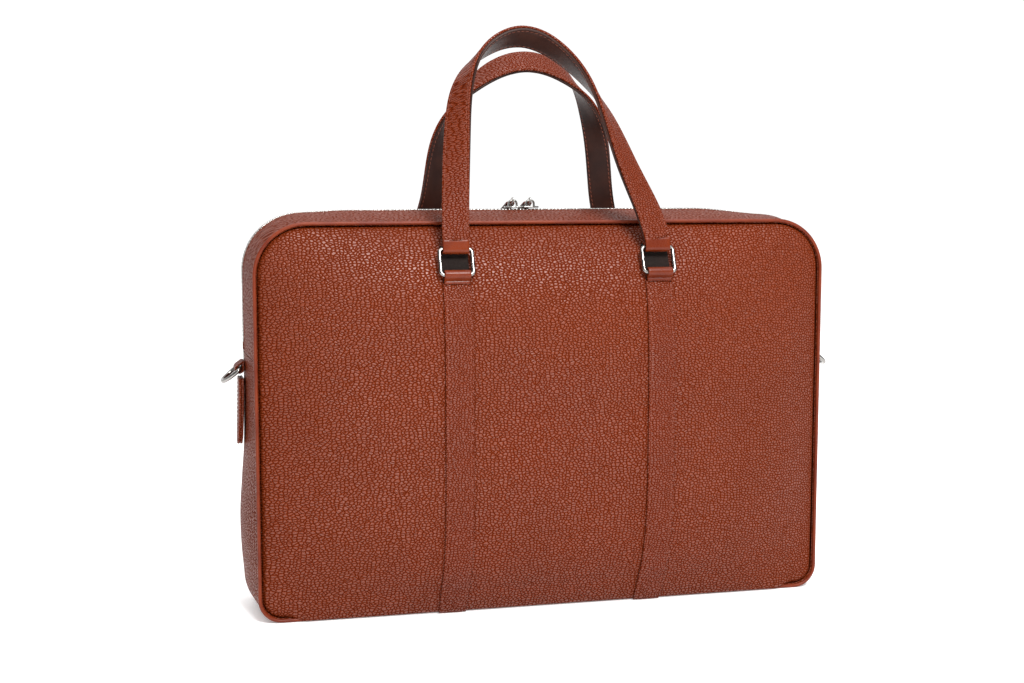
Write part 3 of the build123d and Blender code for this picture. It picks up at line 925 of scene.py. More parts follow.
    def outline_steps(self, first: float, last: float, straight: int = 60, corner: int = 16) -> list[float]:
        """Values along the outline from first to last, closer together round the corners."""
        values = []
        part = math.floor(first)
        while part < last:
            number = straight if part % 2 == 0 else corner
            values += [part + i / number for i in range(number)]
            part += 1
        inside = [value for value in values if first < value < last]
        return [first, *inside, last]

    def side_share(self, z: float, hand: Hand) -> float:
        """The outline value of a height on one side, at the edge of the gusset."""
        edge = self.slice(self.gusset_y)
        low, high = edge.bottom + edge.bottom_radius, edge.top - edge.top_radius
        share = (z - low) / (high - low)
        return 2 + share if hand is Hand.RIGHT else 7 - share


def box_mm(node: str) -> tuple[Vector, Vector]:
    """The lowest and highest corners of a frame node, in millimetres."""
    low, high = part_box(node)
    return Vector(low) / MM, Vector(high) / MM


# ============================================================ panels and pipings
@dataclass
class Panel:
    """One big face of the case: its leather, its mark and the piping round it."""

    side: Side
    form: CaseForm
    grid: float = 5.0
    corner_grid: float = 2.2
    corner_run: float = 42.0
    groove_width: float = 8.0
    cord_radius: float = 1.3
    mark_radius: float = 7.0
    mark_height: float = 234.0
    mark_width: float = 0.9
    mark_depth: float = 0.45

    def build(self, finishes: Finishes) -> None:
        """Make the panel and its piping."""
        self._leather(finishes)
        self._piping(finishes)

    def _leather(self, finishes: Finishes) -> None:
        """A sheet cut to the outline, closely divided and pushed out to its bulge."""
        edge = self.form.panel_outline()
        work = bmesh.new()
        bmesh.ops.create_grid(work, x_segments=1, y_segments=1, size=0.5)
        for vert in work.verts:
            x, z = vert.co.x * 2 * edge.half_width, edge.bottom + (vert.co.y + 0.5) * (edge.top - edge.bottom)
            vert.co = (x, 0, z)
        for radius, is_top in ((edge.top_radius, True), (edge.bottom_radius, False)):
            corners = [v for v in work.verts if (v.co.z == edge.top if is_top else v.co.z == edge.bottom)]
            bmesh.ops.bevel(
                work, geom=corners, offset=radius, segments=14, profile=0.5, affect="VERTICES", material=-1
            )
        spans = (
            (Vector((1, 0, 0)), -edge.half_width, edge.half_width),
            (Vector((0, 0, 1)), edge.bottom, edge.top),
        )
        for direction, low, high in spans:
            cuts = self._cuts(low, high)
            for place in cuts:
                everything = work.verts[:] + work.edges[:] + work.faces[:]
                bmesh.ops.bisect_plane(
                    work, geom=everything, plane_co=direction * place, plane_no=direction, dist=1e-5
                )
        if self.side is Side.FRONT:
            self._refine_mark(work)
        for vert in work.verts:
            vert.co = self._point(vert.co.x, vert.co.z)
        bmesh.ops.recalc_face_normals(work, faces=work.faces)
        facing = sum(face.normal.y for face in work.faces) * self.side.value
        if facing < 0:
            bmesh.ops.reverse_faces(work, faces=work.faces)
        made = piece(
            f"{self.side.word}_panel_leather",
            work,
            finishes.leather,
            "case",
            Slot.LEATHER,
            [f"{self.side.word}_panel"],
        )
        thicken(made, self.form.leather)

    def _cuts(self, low: float, high: float) -> list[float]:
        """Where the sheet is divided: wide over its middle, closer at its corners, closest in its groove."""
        groove = [0.3, 0.7, 1.2, 1.8, 2.6, 4.2, 6.0]
        groove += steps(self.groove_width, self.corner_run, round(self.corner_run / self.corner_grid))
        inner_low, inner_high = low + self.corner_run, high - self.corner_run
        middle = steps(inner_low, inner_high, round((inner_high - inner_low) / self.grid))[1:-1]
        return [low + g for g in groove] + middle + [high - g for g in groove]

    def _refine_mark(self, work: bmesh.types.BMesh) -> None:
        """Divide the sheet finely where the blank ring is pressed in."""
        reach = self.mark_radius + 4.0
        for cuts in (2, 2):
            near = [
                edge
                for edge in work.edges
                if all(math.hypot(v.co.x, v.co.z - self.mark_height) < reach for v in edge.verts)
            ]
            bmesh.ops.subdivide_edges(work, edges=near, cuts=cuts, use_grid_fill=True)

    def _point(self, x: float, z: float) -> Vector:
        """The place of a point of the sheet once the case is filled."""
        pressed = 0.0
        if self.side is Side.FRONT:
            away = abs(math.hypot(x, z - self.mark_height) - self.mark_radius)
            pressed = self.mark_depth * max(0.0, 1 - (away / self.mark_width) ** 2)
        return self.form.panel_point(x, z, self.side, -pressed)

    def _piping(self, finishes: Finishes) -> None:
        """The covered cord between the panel and the gusset."""
        radius = self.cord_radius
        path = self.form.piping_outline(radius)
        values = self.form.outline_steps(0.0, 8.0, 110, 22)
        centre_y = self.side.value * self.form.edge_y

        def at(u: float, turn: float) -> Vector:
            """One point of the surface."""
            point, out = path.at(u % 8.0)
            swell = 1 + 0.035 * wobble(point, 9.0, 5.0) - 0.02
            flat = out * math.cos(turn) + Vector((0, 1, 0)) * math.sin(turn)
            return point + Vector((0, centre_y, 0)) + flat * radius * swell

        work = bmesh.new()
        surface(work, values, steps(0.0, math.tau, 18), at)
        weld(work)
        piece(
            f"{self.side.word}_piping_cord",
            work,
            finishes.piping,
            "case",
            Slot.LEATHER,
            [f"{self.side.word}_piping"],
        )


def thicken(made: bpy.types.Object, thickness: float) -> None:
    """Give a sheet its thickness on its inner side."""
    wall = made.modifiers.new("thickness", "SOLIDIFY")
    wall.thickness = thickness * MM
    wall.offset = -1.0
    wall.use_even_offset = True


# ============================================================ gusset and zip strips
@dataclass
class Gusset:
    """The leather band round the case: the base and sides, and a strip each side of the zip."""

    form: CaseForm
    zip_half_gap: float = 5.5
    stitch_inset: float = 2.6
    lining: float = 0.5
    lining_gap: float = 1.0
    lining_clear: float = 4.0
    lining_from_zip: float = 2.0

    def build(self, finishes: Finishes) -> None:
        """Make the three bands and their stitching."""
        edge = self.form.gusset_y
        left = self.form.side_share(self.form.zip_end, Hand.LEFT)
        right = self.form.side_share(self.form.zip_end, Hand.RIGHT)
        low = self.form.outline_steps(left - 8.0, right, 60, 16)
        self._band("base_and_side_leather", low, -edge, edge, 28, ["base_and_side_gusset"], finishes)
        gap = 0.002
        high = self.form.outline_steps(right + gap, left - gap, 60, 18)
        for side in Side:
            outer, inner = side.value * edge, side.value * self.zip_half_gap
            first, last = min(outer, inner), max(outer, inner)
            name = f"{side.word}_zip_strip"
            self._band(f"{name}_leather", high, first, last, 18, [name], finishes)
            self._stitches(side, high, finishes)
        slot = self.zip_half_gap + self.lining_from_zip
        inside = edge - self.lining_clear
        self._cloth("gusset_lining_cloth", low, -inside, inside, ["gusset_lining"], finishes)
        for side in Side:
            first, last = sorted((side.value * inside, side.value * slot))
            self._cloth(f"{side.word}_zip_lining_cloth", high, first, last, [], finishes)

    def _cloth(
        self, name: str, along: Sequence[float], low: float, high: float, replaced: list[str],
        finishes: Finishes,
    ) -> None:
        """One strip of the lining, which follows the leather's inner face."""
        section = ply_section(high - low, self.lining, 0.2, 14, 2)
        depth = self.form.leather + self.lining_gap + self.lining / 2

        def at(u: float, a: float, b: float) -> Vector:
            """One point of the surface."""
            return self.form.gusset_point(u, (low + high) / 2 + a, b - depth)

        swept_piece(name, along, section, at, finishes.lining, "case", Slot.LINING, replaced)

    def _band(
        self, name: str, along: Sequence[float], low: float, high: float, across: int, replaced: list[str],
        finishes: Finishes,
    ) -> None:
        """One closed ply of leather that follows the gusset's crown."""
        middle, width = (low + high) / 2, high - low
        section = ply_section(width, self.form.leather, 0.7, across)

        def at(u: float, a: float, b: float) -> Vector:
            """One point of the surface."""
            lift = b - self.form.leather / 2
            y = middle + a
            flat = self.form.gusset_point(u, y, 0.0)
            soft = min(1.0, (self.form.gusset_y - abs(y)) / 9.0)
            lift += soft * (0.32 * wobble(flat, 42.0, 1.0) + 0.15 * wobble(flat, 17.0, 7.0))
            lift += self._fold_puff(y)
            return self.form.gusset_point(u, y, min(lift, 1.0) if b > 0 else lift - 0.1)

        swept_piece(name, along, section, at, finishes.gusset_leather, "case", Slot.LEATHER, replaced)

    def _fold_puff(self, y: float) -> float:
        """How the turned edge beside the zip swells, with a dip along its stitches."""
        from_fold = abs(y) - self.zip_half_gap
        if from_fold < -0.5:
            return 0.0
        swell = 0.45 * math.exp(-((from_fold - 1.0) ** 2) / 1.6)
        dip = 0.28 * math.exp(-((from_fold - self.stitch_inset) ** 2) / 0.35)
        return swell - dip

    def _stitches(self, side: Side, along: Sequence[float], finishes: Finishes) -> None:
        """The row of stitches beside the zip."""
        y = side.value * (self.zip_half_gap + self.stitch_inset)
        points = [self.form.gusset_point(u, y, -0.1) for u in along]
        normals = [self.form.slice(y).at(u)[1] for u in along]
        work = bmesh.new()
        Stitching().sew(work, points, normals)
        piece(f"{side.word}_zip_strip_stitches", work, finishes.thread, "case", Slot.LEATHER)


# ============================================================ zip
@dataclass
class Zip:
    """The zip's tapes and its separate teeth."""

    form: CaseForm
    pitch: float = 2.7
    tooth_run: float = 1.15
    tooth_height: float = 2.4
    tooth_in: float = 0.75
    tooth_out: float = 3.1
    tooth_top: float = 0.45
    tape_inner: float = 1.4
    tape_outer: float = 15.4
    tape_thickness: float = 0.6

    def build(self, finishes: Finishes) -> None:
        """Make both halves of the zip."""
        left = self.form.side_share(self.form.zip_end + 0.3, Hand.LEFT)
        right = self.form.side_share(self.form.zip_end + 0.3, Hand.RIGHT)
        along = self.form.outline_steps(right, left, 70, 18)
        for side in Side:
            self._tape(side, along, finishes)
            self._teeth(side, along, finishes)

    def _tape(self, side: Side, along: Sequence[float], finishes: Finishes) -> None:
        """The woven tape under the strip's edge."""
        middle = side.value * (self.tape_inner + self.tape_outer) / 2
        section = ply_section(self.tape_outer - self.tape_inner, self.tape_thickness, 0.25, 8, 2)
        depth = self.form.leather + 0.25 + self.tape_thickness / 2

        def at(u: float, a: float, b: float) -> Vector:
            """One point of the surface."""
            return self.form.gusset_point(u, middle + a, b - depth)

        name = f"{side.word}_zip_tape"
        swept_piece(f"{name}_cloth", along, section, at, finishes.tape, "case", Slot.TAPE, [name])

    def _teeth(self, side: Side, along: Sequence[float], finishes: Finishes) -> None:
        """One row of separate teeth, each meshed between two of the other row."""
        line = [self.form.gusset_point(u, 0.0, 0.0) for u in along]
        outs = [self.form.slice(0.0).at(u)[1] for u in along]
        width = self.tooth_out + self.tooth_in
        middle_y = side.value * (self.tooth_out - self.tooth_in) / 2
        work = bmesh.new()
        travelled, due = 0.0, 7.0 + (self.pitch / 2 if side is Side.BACK else 0.0)
        total = sum((b - a).length for a, b in zip(line, line[1:]))
        for i in range(1, len(line)):
            run = line[i] - line[i - 1]
            while travelled + run.length >= due and due < total - 7.0:
                share = (due - travelled) / run.length
                out = outs[i - 1].lerp(outs[i], share).normalized()
                tangent = Vector((0, 1, 0)).cross(out).normalized()
                place = line[i - 1].lerp(line[i], share) + out * (self.tooth_top - self.tooth_height / 2)
                turn = Matrix((tangent, Vector((0, 1, 0)), out)).transposed().to_4x4()
                size = Matrix.Diagonal((self.tooth_run, width, self.tooth_height, 1.0))
                spot = Matrix.Translation(place + Vector((0, middle_y, 0)))
                bmesh.ops.create_cube(work, size=1.0, matrix=spot @ turn @ size)
                due += self.pitch
            travelled += run.length
        bmesh.ops.bevel(
            work, geom=work.edges[:], offset=0.28, segments=1, profile=0.5, affect="EDGES", material=-1
        )
        bmesh.ops.recalc_face_normals(work, faces=work.faces)
        name = f"{side.word}_zip_teeth"
        piece(f"{name}_row", work, finishes.zip_metal, "case", Slot.ZIP_METAL, [name])


@dataclass
class Slider:
    """A zip slider with its wire link and leather pull."""

    hand: Hand
    plate: float = 1.2
    plate_bevel: float = 0.3
    nose_share: float = 0.55
    shoulder_share: float = 0.2
    plate_radii: tuple[float, float, float] = (1.2, 2.4, 1.4)
    bridge_wire: float = 0.75
    bridge_half_width: float = 1.5
    bridge_half_span: float = 3.1
    bridge_height: float = 4.4
    bridge_roundness: float = 0.55
    bar_under_top: float = 0.7
    rest_slope: float = 18.0
    link_wire: float = 0.62
    link_half_width: float = 1.6
    link_reach: float = 8.4
    link_corner: float = 1.45
    pull_width: float = 8.0
    pull_thickness: float = 1.8
    pull_near: float = 5.6
    pull_far: float = 31.4
    pull_neck_share: float = 0.8
    pull_radii: tuple[float, float] = (2.2, 3.6)
    pull_bevel: float = 0.5
    eyelet_place: float = 8.2
    eyelet_half: float = 1.5
    eyelet_wire: float = 0.4
    stitch_start: float = 11.5
    stitch_inset: float = 1.3
    stitch_radii: tuple[float, float] = (0.8, 2.4)

    def build(self, finishes: Finishes) -> None:
        """Make the slider's body, link and pull."""
        low, high = box_mm(f"{self.hand.word}_slider")
        self.x = (low.x + high.x) / 2
        self.bar_z = high.z - self.bar_under_top
        self._body(low, high, finishes)
        self._link(finishes)
        self._pull(finishes)

    def _body(self, low: Vector, high: Vector, finishes: Finishes) -> None:
        """Two plates with softened rims and the arch that carries the link."""
        half_x, half_y = (high.x - low.x) / 2, high.y
        top_z = self.bar_z - self.bridge_height
        work = bmesh.new()
        nose, shoulder = half_y * self.nose_share, -half_x * self.shoulder_share
        near_side = [(-half_x, -nose), (shoulder, -half_y), (half_x, -half_y)]
        outline = near_side + [(x, -y) for x, y in reversed(near_side)]
        radii = [*self.plate_radii, *reversed(self.plate_radii)]
        flip = Matrix.Diagonal((-self.hand.value, 1, 1, 1))
        for z in (top_z - self.plate / 2, low.z + self.plate / 2):
            plate = cut_shape(outline, radii, self.plate, self.plate_bevel)
            bmesh.ops.transform(plate, matrix=Matrix.Translation((self.x, 0, z)) @ flip, verts=plate.verts)
            merge_into(work, plate)
        rise = steps(0.0, math.pi, 14)
        span, height = self.bridge_half_span, self.bar_z - top_z

        def arch(angle: float, turn: float) -> Vector:
            """One point of the bridge."""
            z = top_z + height * math.sin(angle) ** self.bridge_roundness
            out = Vector((-math.cos(angle), 0, math.sin(angle)))
            thick = out * self.bridge_wire * math.cos(turn)
            wide = Vector((0, self.bridge_half_width * math.sin(turn), 0))
            return Vector((self.x - span * math.cos(angle), 0, z)) + thick + wide

        surface(work, rise, steps(0.0, math.tau, 12), arch)
        weld(work, cap=True)
        name = f"{self.hand.word}_slider"
        made = piece(f"{name}_body", work, finishes.zip_metal, name, Slot.ZIP_METAL, [name])
        shade_by_angle(made)

    def _frame(self) -> Matrix:
        """From the pull's own axes, with its length along X, to the case."""
        turn = Matrix.Rotation(math.radians(-self.rest_slope), 4, "X")
        lay = Matrix(((0, 0, 1, 0), (1, 0, 0, 0), (0, 1, 0, 0), (0, 0, 0, 1)))
        return Matrix.Translation((self.x, 0, self.bar_z)) @ turn @ lay

    def _link(self, finishes: Finishes) -> None:
        """The wire link round the bridge."""
        half, reach = self.link_half_width, self.link_reach
        corners = [(-half, -half), (reach, -half), (reach, half), (-half, half)]
        path = rounded_path(corners, [self.link_corner] * 4, 6)
        work = bmesh.new()
        wire_loop(work, path, self.link_wire, self._frame(), 10)
        weld(work)
        name = f"{self.hand.word}_pull"
        piece(f"{name}_link_wire", work, finishes.zip_metal, name, Slot.ZIP_METAL, [f"{name}_link"])

    def _pull(self, finishes: Finishes) -> None:
        """The leather pull, with its eyelet and a row of stitches round its edge."""
        name = f"{self.hand.word}_pull"
        near, far, half = self.pull_near, self.pull_far, self.pull_width / 2
        neck = half * self.pull_neck_share
        radii = [*self.pull_radii, *reversed(self.pull_radii)]
        corners = [(near, -neck), (far, -half), (far, half), (near, neck)]
        work = cut_shape(corners, radii, self.pull_thickness, self.pull_bevel)
        frame = self._frame() @ Matrix.Rotation(math.radians(90), 4, "X")
        bmesh.ops.transform(work, matrix=frame, verts=work.verts)
        bmesh.ops.recalc_face_normals(work, faces=work.faces)
        made = piece(f"{name}_leather", work, finishes.strap_leather, name, Slot.LEATHER, [f"{name}_tab"])
        shade_by_angle(made)
        hole = self.eyelet_half
        corners = [(-hole, -hole), (hole, -hole), (hole, hole), (-hole, hole)]
        path = rounded_path(corners, [self.link_corner] * 4, 4)
        eyelets = bmesh.new()
        for up in (-1, 1):
            spot = frame @ Matrix.Translation((self.eyelet_place, 0, up * self.pull_thickness / 2))
            wire_loop(eyelets, path, self.eyelet_wire, spot, 8)
        weld(eyelets)
        piece(f"{name}_eyelet", eyelets, finishes.zip_metal, name, Slot.ZIP_METAL)
        start, end, side = self.stitch_start, far - self.stitch_inset, half - self.stitch_inset
        radii = [*self.stitch_radii, *reversed(self.stitch_radii)]
        line = rounded_path([(start, -side), (end, -side), (end, side), (start, side)], radii, 5)
        thread = bmesh.new()
        up = (frame.to_3x3() @ Vector((0, 0, 1))).normalized()
        rise = self.pull_thickness / 2
        for sign in (-1, 1):
            points = [frame @ Vector((a, b, sign * rise)) for a, b in line]
            Stitching(2.2, 1.7, 0.5, 0.35).sew(thread, points, [up * sign] * len(points))
        piece(f"{name}_stitches", thread, finishes.thread, name, Slot.LEATHER)


def merge_into(target: bmesh.types.BMesh, source: bmesh.types.BMesh) -> None:
    """Move one mesh into another and free it."""
    carrier = bpy.data.meshes.new("carrier")
    source.to_mesh(carrier)
    source.free()
    target.from_mesh(carrier)
    bpy.data.meshes.remove(carrier)


def shade_by_angle(made: bpy.types.Object, degrees: float = 38.0) -> None:
    """Keep the edges sharper than an angle crisp."""
    made.data.set_sharp_from_angle(angle=math.radians(degrees))


# ============================================================ loops of leather round a bar
@dataclass(frozen=True)
class BarLoop:
    """Leather folded round a bar and brought together in a flat foot, drawn in a plane across the bar."""

    bar: Point2
    foot_low: Point2
    foot_high: Point2
    radius: float

    def path(self) -> list[Point2]:
        """The outer face, from one side of the foot round the bar to the other."""
        centre = Vector(self.bar)
        first = self._tangent(Vector(self.foot_low), 1)
        last = self._tangent(Vector(self.foot_high), -1)
        sweep = (last - first) % math.tau
        if sweep < math.pi * 0.8:
            first, last = self._tangent(Vector(self.foot_low), -1), self._tangent(Vector(self.foot_high), 1)
            sweep = -((first - last) % math.tau)
        arc = []
        for angle in steps(first, first + sweep, 18):
            spoke = Vector((math.cos(angle), math.sin(angle))) * self.radius
            arc.append(tuple(centre + spoke))
        start = [tuple(Vector(self.foot_low).lerp(Vector(arc[0]), s)) for s in steps(0, 1, 4)[:-1]]
        end = [tuple(Vector(arc[-1]).lerp(Vector(self.foot_high), s)) for s in steps(0, 1, 4)[1:]]
        return [*start, *arc, *end]

    def _tangent(self, point: Vector, sign: int) -> float:
        """The angle at which a line from a point touches the loop."""
        away = point - Vector(self.bar)
        return math.atan2(away.y, away.x) + sign * math.acos(min(1.0, self.radius / away.length))


def loop_piece(
    name: str, loop: BarLoop, width: float, thickness: float, place: Callable[[float, float, float], Vector],
    finish: bpy.types.Material, body: str, replaced: Sequence[str] = (),
) -> bpy.types.Object:
    """Make a folded leather loop.

    Args:
        name: The piece's name.
        loop: Its shape across the bar.
        width: Along the bar.
        thickness: Of the leather.
        place: From the distance along the bar and the two values of the loop's plane to the case.
        finish: Its material.
        body: The body that it moves with.
        replaced: The frame's nodes that it stands for.

    Returns:
        The new object.
    """
    path = loop.path()
    centre = Vector(loop.bar)
    half = width / 2
    inner = half - 1.6
    across = [-half, -half + 0.25, -half + 0.8, *steps(-inner, inner, 8), half - 0.8, half - 0.25, half]
    last = len(path) - 1

    def at(a: float, index: float) -> Vector:
        """One point of the surface."""
        i = round(index)
        point = Vector(path[i])
        run = Vector(path[min(i + 1, last)]) - Vector(path[max(i - 1, 0)])
        out = Vector((run.y, -run.x)).normalized()
        if out.dot(point - centre) < 0:
            out = -out
        edge = max(0.0, 1 - (half - abs(a)) / 0.8)
        point = point - out * 0.35 * edge ** 2
        return place(a, point.x, point.y)

    work = bmesh.new()
    surface(work, across, count(path), at)
    bmesh.ops.recalc_face_normals(work, faces=work.faces)
    middle = place(0.0, *loop.bar)
    if sum((face.calc_center_median() - middle).dot(face.normal) for face in work.faces) < 0:
        bmesh.ops.reverse_faces(work, faces=work.faces)
    made = piece(name, work, finish, body, Slot.LEATHER, replaced)
    thicken(made, thickness)
    return made


# ============================================================ straps and their rings
@dataclass
class StrapSet:
    """One strap up a panel, the loop at its top and the ring that the loop holds."""

    side: Side
    hand: Hand
    form: CaseForm
    thickness: float = 1.8
    gap: float = 0.15
    wire: float = 1.5
    loop_leather: float = 1.6
    loop_width: float = 18.6
    stitch_inset: float = 2.0
    puff: float = 0.30
    stitch_dip: float = 0.30
    wrinkle: float = 0.10
    wrinkle_size: float = 11.0
    # The near-black sheet of painted shade behind the ring: its width and its thickness.
    backing_width: float = 19.0
    backing_leather: float = 0.6

    def build(self, finishes: Finishes) -> None:
        """Make the strap, its stitches, its loop and its ring."""
        name = f"{self.side.word}_{self.hand.word}"
        low, high = box_mm(f"{name}_strap")
        self.x, self.half, self.foot = (low.x + high.x) / 2, (high.x - low.x) / 2, low.z
        ring_low, ring_high = box_mm(f"{name}_ring")
        reach = (abs(ring_low.y), abs(ring_high.y))
        self.bar_y, self.high_bar_y = max(reach) - self.wire, min(reach) + self.wire
        self.low_bar, self.high_bar = ring_low.z + self.wire, ring_high.z - self.wire
        self.head = self.low_bar - 6.0
        self._strap(name, finishes)
        # A near-black sheet behind the ring, as painted shade.
        self._backing(name, finishes)
        self._loop(name, finishes)
        self._ring(name, (ring_high.x - ring_low.x) / 2 - self.wire, finishes)

    def _face(self, z: float, across: float, up: float) -> Vector:
        """A point on the strap, from its height, its place off the centre line and its rise off its back."""
        return self.form.panel_point(self.x + across, z, self.side, self.gap + up)

    def _strap(self, name: str, finishes: Finishes) -> None:
        """The sewn strap, slightly padded between its two rows of stitches."""
        section = ply_section(self.half * 2, self.thickness, 0.65, 22)
        heights = steps(self.foot - 0.4, self.head, 110)
        half_t = self.thickness / 2

        def at(z: float, a: float, b: float) -> Vector:
            """One point of the surface."""
            up = b + half_t
            if b > half_t - 0.3:
                up += self._puff(a) + self.wrinkle * wobble(Vector((a, 0, z)), self.wrinkle_size, self.x)
            return self._face(z, a, up)

        made = f"{name}_strap_leather"
        swept_piece(
            made, heights, section, at, finishes.strap_leather, "case", Slot.LEATHER, [f"{name}_strap"]
        )
        thread = bmesh.new()
        up = Vector((0, self.side.value, 0))
        sewing = Stitching()
        for sign in (-1, 1):
            a = sign * (self.half - self.stitch_inset)
            up_face = self.thickness + self._puff(a)
            line = [self._face(z, a, up_face) for z in steps(self.foot + 1.5, self.head, 60)]
            sewing.sew(thread, line, [up] * len(line))
        reach = self.half - self.stitch_inset
        for z in (self.head - 0.6, self.head - 11.0):
            line = [self._face(z, a, self.thickness + 0.12) for a in steps(-reach, reach, 12)]
            sewing.sew(thread, line, [up] * len(line))
        piece(f"{name}_strap_stitches", thread, finishes.thread, "case", Slot.LEATHER)

    def _backing(self, name: str, finishes: Finishes) -> None:
        """A thin near-black sheet behind the ring, between the strap's loop and the handle's loop: painted
        shade.
        """
        section = ply_section(self.backing_width, self.backing_leather, 0.3, 8)
        half_t = self.backing_leather / 2
        heights = steps(self.head + 0.2, self.high_bar + 2.0, 20)
        swept_piece(
            f"{name}_ring_backing", heights, section, lambda z, a, b: self._face(z, a, b + half_t),
            finishes.backing_leather, "case", Slot.LEATHER,
        )

    def _puff(self, a: float) -> float:
        """The strap's soft rise between its stitch rows, with a dip along each row."""
        inner = self.half - self.stitch_inset
        rise = self.puff * max(0.0, 1 - (a / inner) ** 4) if abs(a) < inner else 0.0
        dip = self.stitch_dip * math.exp(-((abs(a) - inner) ** 2) / 0.30)
        return rise - dip

    def _loop(self, name: str, finishes: Finishes) -> None:
        """The end of the strap, folded round the ring's lower bar."""
        front = self.form.panel_depth(self.x, self.head) + self.gap
        foot = self.head - 0.8
        loop = BarLoop(
            (self.bar_y, self.low_bar), (front, foot), (front + self.thickness + 0.25, foot),
            self.wire + 0.25 + self.loop_leather,
        )

        def place(a: float, depth: float, z: float) -> Vector:
            """From the loop's plane to the case."""
            return Vector((self.x + a, self.side.value * depth, z))

        loop_piece(
            f"{name}_strap_loop", loop, self.loop_width, self.loop_leather, place, finishes.loop_leather,
            "case",
        )

    def _ring(self, name: str, half_x: float, finishes: Finishes) -> None:
        """The rectangular ring, leaning back with the panel."""
        sign = self.side.value
        rise = Vector((0, sign * (self.high_bar_y - self.bar_y), self.high_bar - self.low_bar))
        corners = [(-half_x, 0), (half_x, 0), (half_x, rise.length), (-half_x, rise.length)]
        path = rounded_path(corners, [2.6] * 4, 8)
        across, up = Vector((1, 0, 0)), rise.normalized()
        frame = Matrix((across, up, across.cross(up))).transposed().to_4x4()
        frame.translation = (self.x, sign * self.bar_y, self.low_bar)
        work = bmesh.new()
        wire_loop(work, path, self.wire, frame, 20)
        weld(work)
        piece(
            f"{name}_ring_wire", work, finishes.ring_metal, f"{self.side.word}_rings", Slot.RING_METAL,
            [f"{name}_ring"],
        )


# ============================================================ handles
class SmoothLine:
    """A smooth line through points, with set directions at its two ends."""

    def __init__(self, points: Sequence[Vector], start: Vector, end: Vector) -> None:
        """Work out the line's direction at each point.

        Args:
            points: What the line passes through.
            start: Its direction at the first point.
            end: Its direction at the last point.
        """
        self.points = list(points)
        self.knots = [0.0]
        for a, b in zip(self.points, self.points[1:]):
            self.knots.append(self.knots[-1] + (b - a).length)
        self.slopes = self._solve(start.normalized(), end.normalized())

    def _solve(self, start: Vector, end: Vector) -> list[Vector]:
        """Find the directions that let the curvature run through every point."""
        last = len(self.points) - 1
        gaps = [b - a for a, b in zip(self.knots, self.knots[1:])]
        runs = [(b - a) / gap for a, b, gap in zip(self.points, self.points[1:], gaps)]
        slopes = [start] + [(runs[i - 1] + runs[i]) / 2 for i in range(1, last)] + [end]
        for _ in range(60):
            for i in range(1, last):
                before, after = gaps[i - 1], gaps[i]
                pull = (runs[i - 1] * after + runs[i] * before) * 3
                pull = pull - slopes[i - 1] * after - slopes[i + 1] * before
                slopes[i] = pull / (2 * (before + after))
        return slopes

    def at(self, share: float) -> tuple[Vector, Vector]:
        """The point and the direction at a share of the line's length."""
        where = share * self.knots[-1]
        i = max(k for k in range(len(self.points) - 1) if self.knots[k] <= where + 1e-9)
        gap = self.knots[i + 1] - self.knots[i]
        t = (where - self.knots[i]) / gap
        a, b = self.points[i], self.points[i + 1]
        m, n = self.slopes[i] * gap, self.slopes[i + 1] * gap
        point = a * (2 * t**3 - 3 * t**2 + 1) + m * (t**3 - 2 * t**2 + t)
        point += b * (3 * t**2 - 2 * t**3) + n * (t**3 - t**2)
        run = a * (6 * t**2 - 6 * t) + m * (3 * t**2 - 4 * t + 1)
        run += b * (6 * t - 6 * t**2) + n * (3 * t**2 - 2 * t)
        return point, run.normalized()


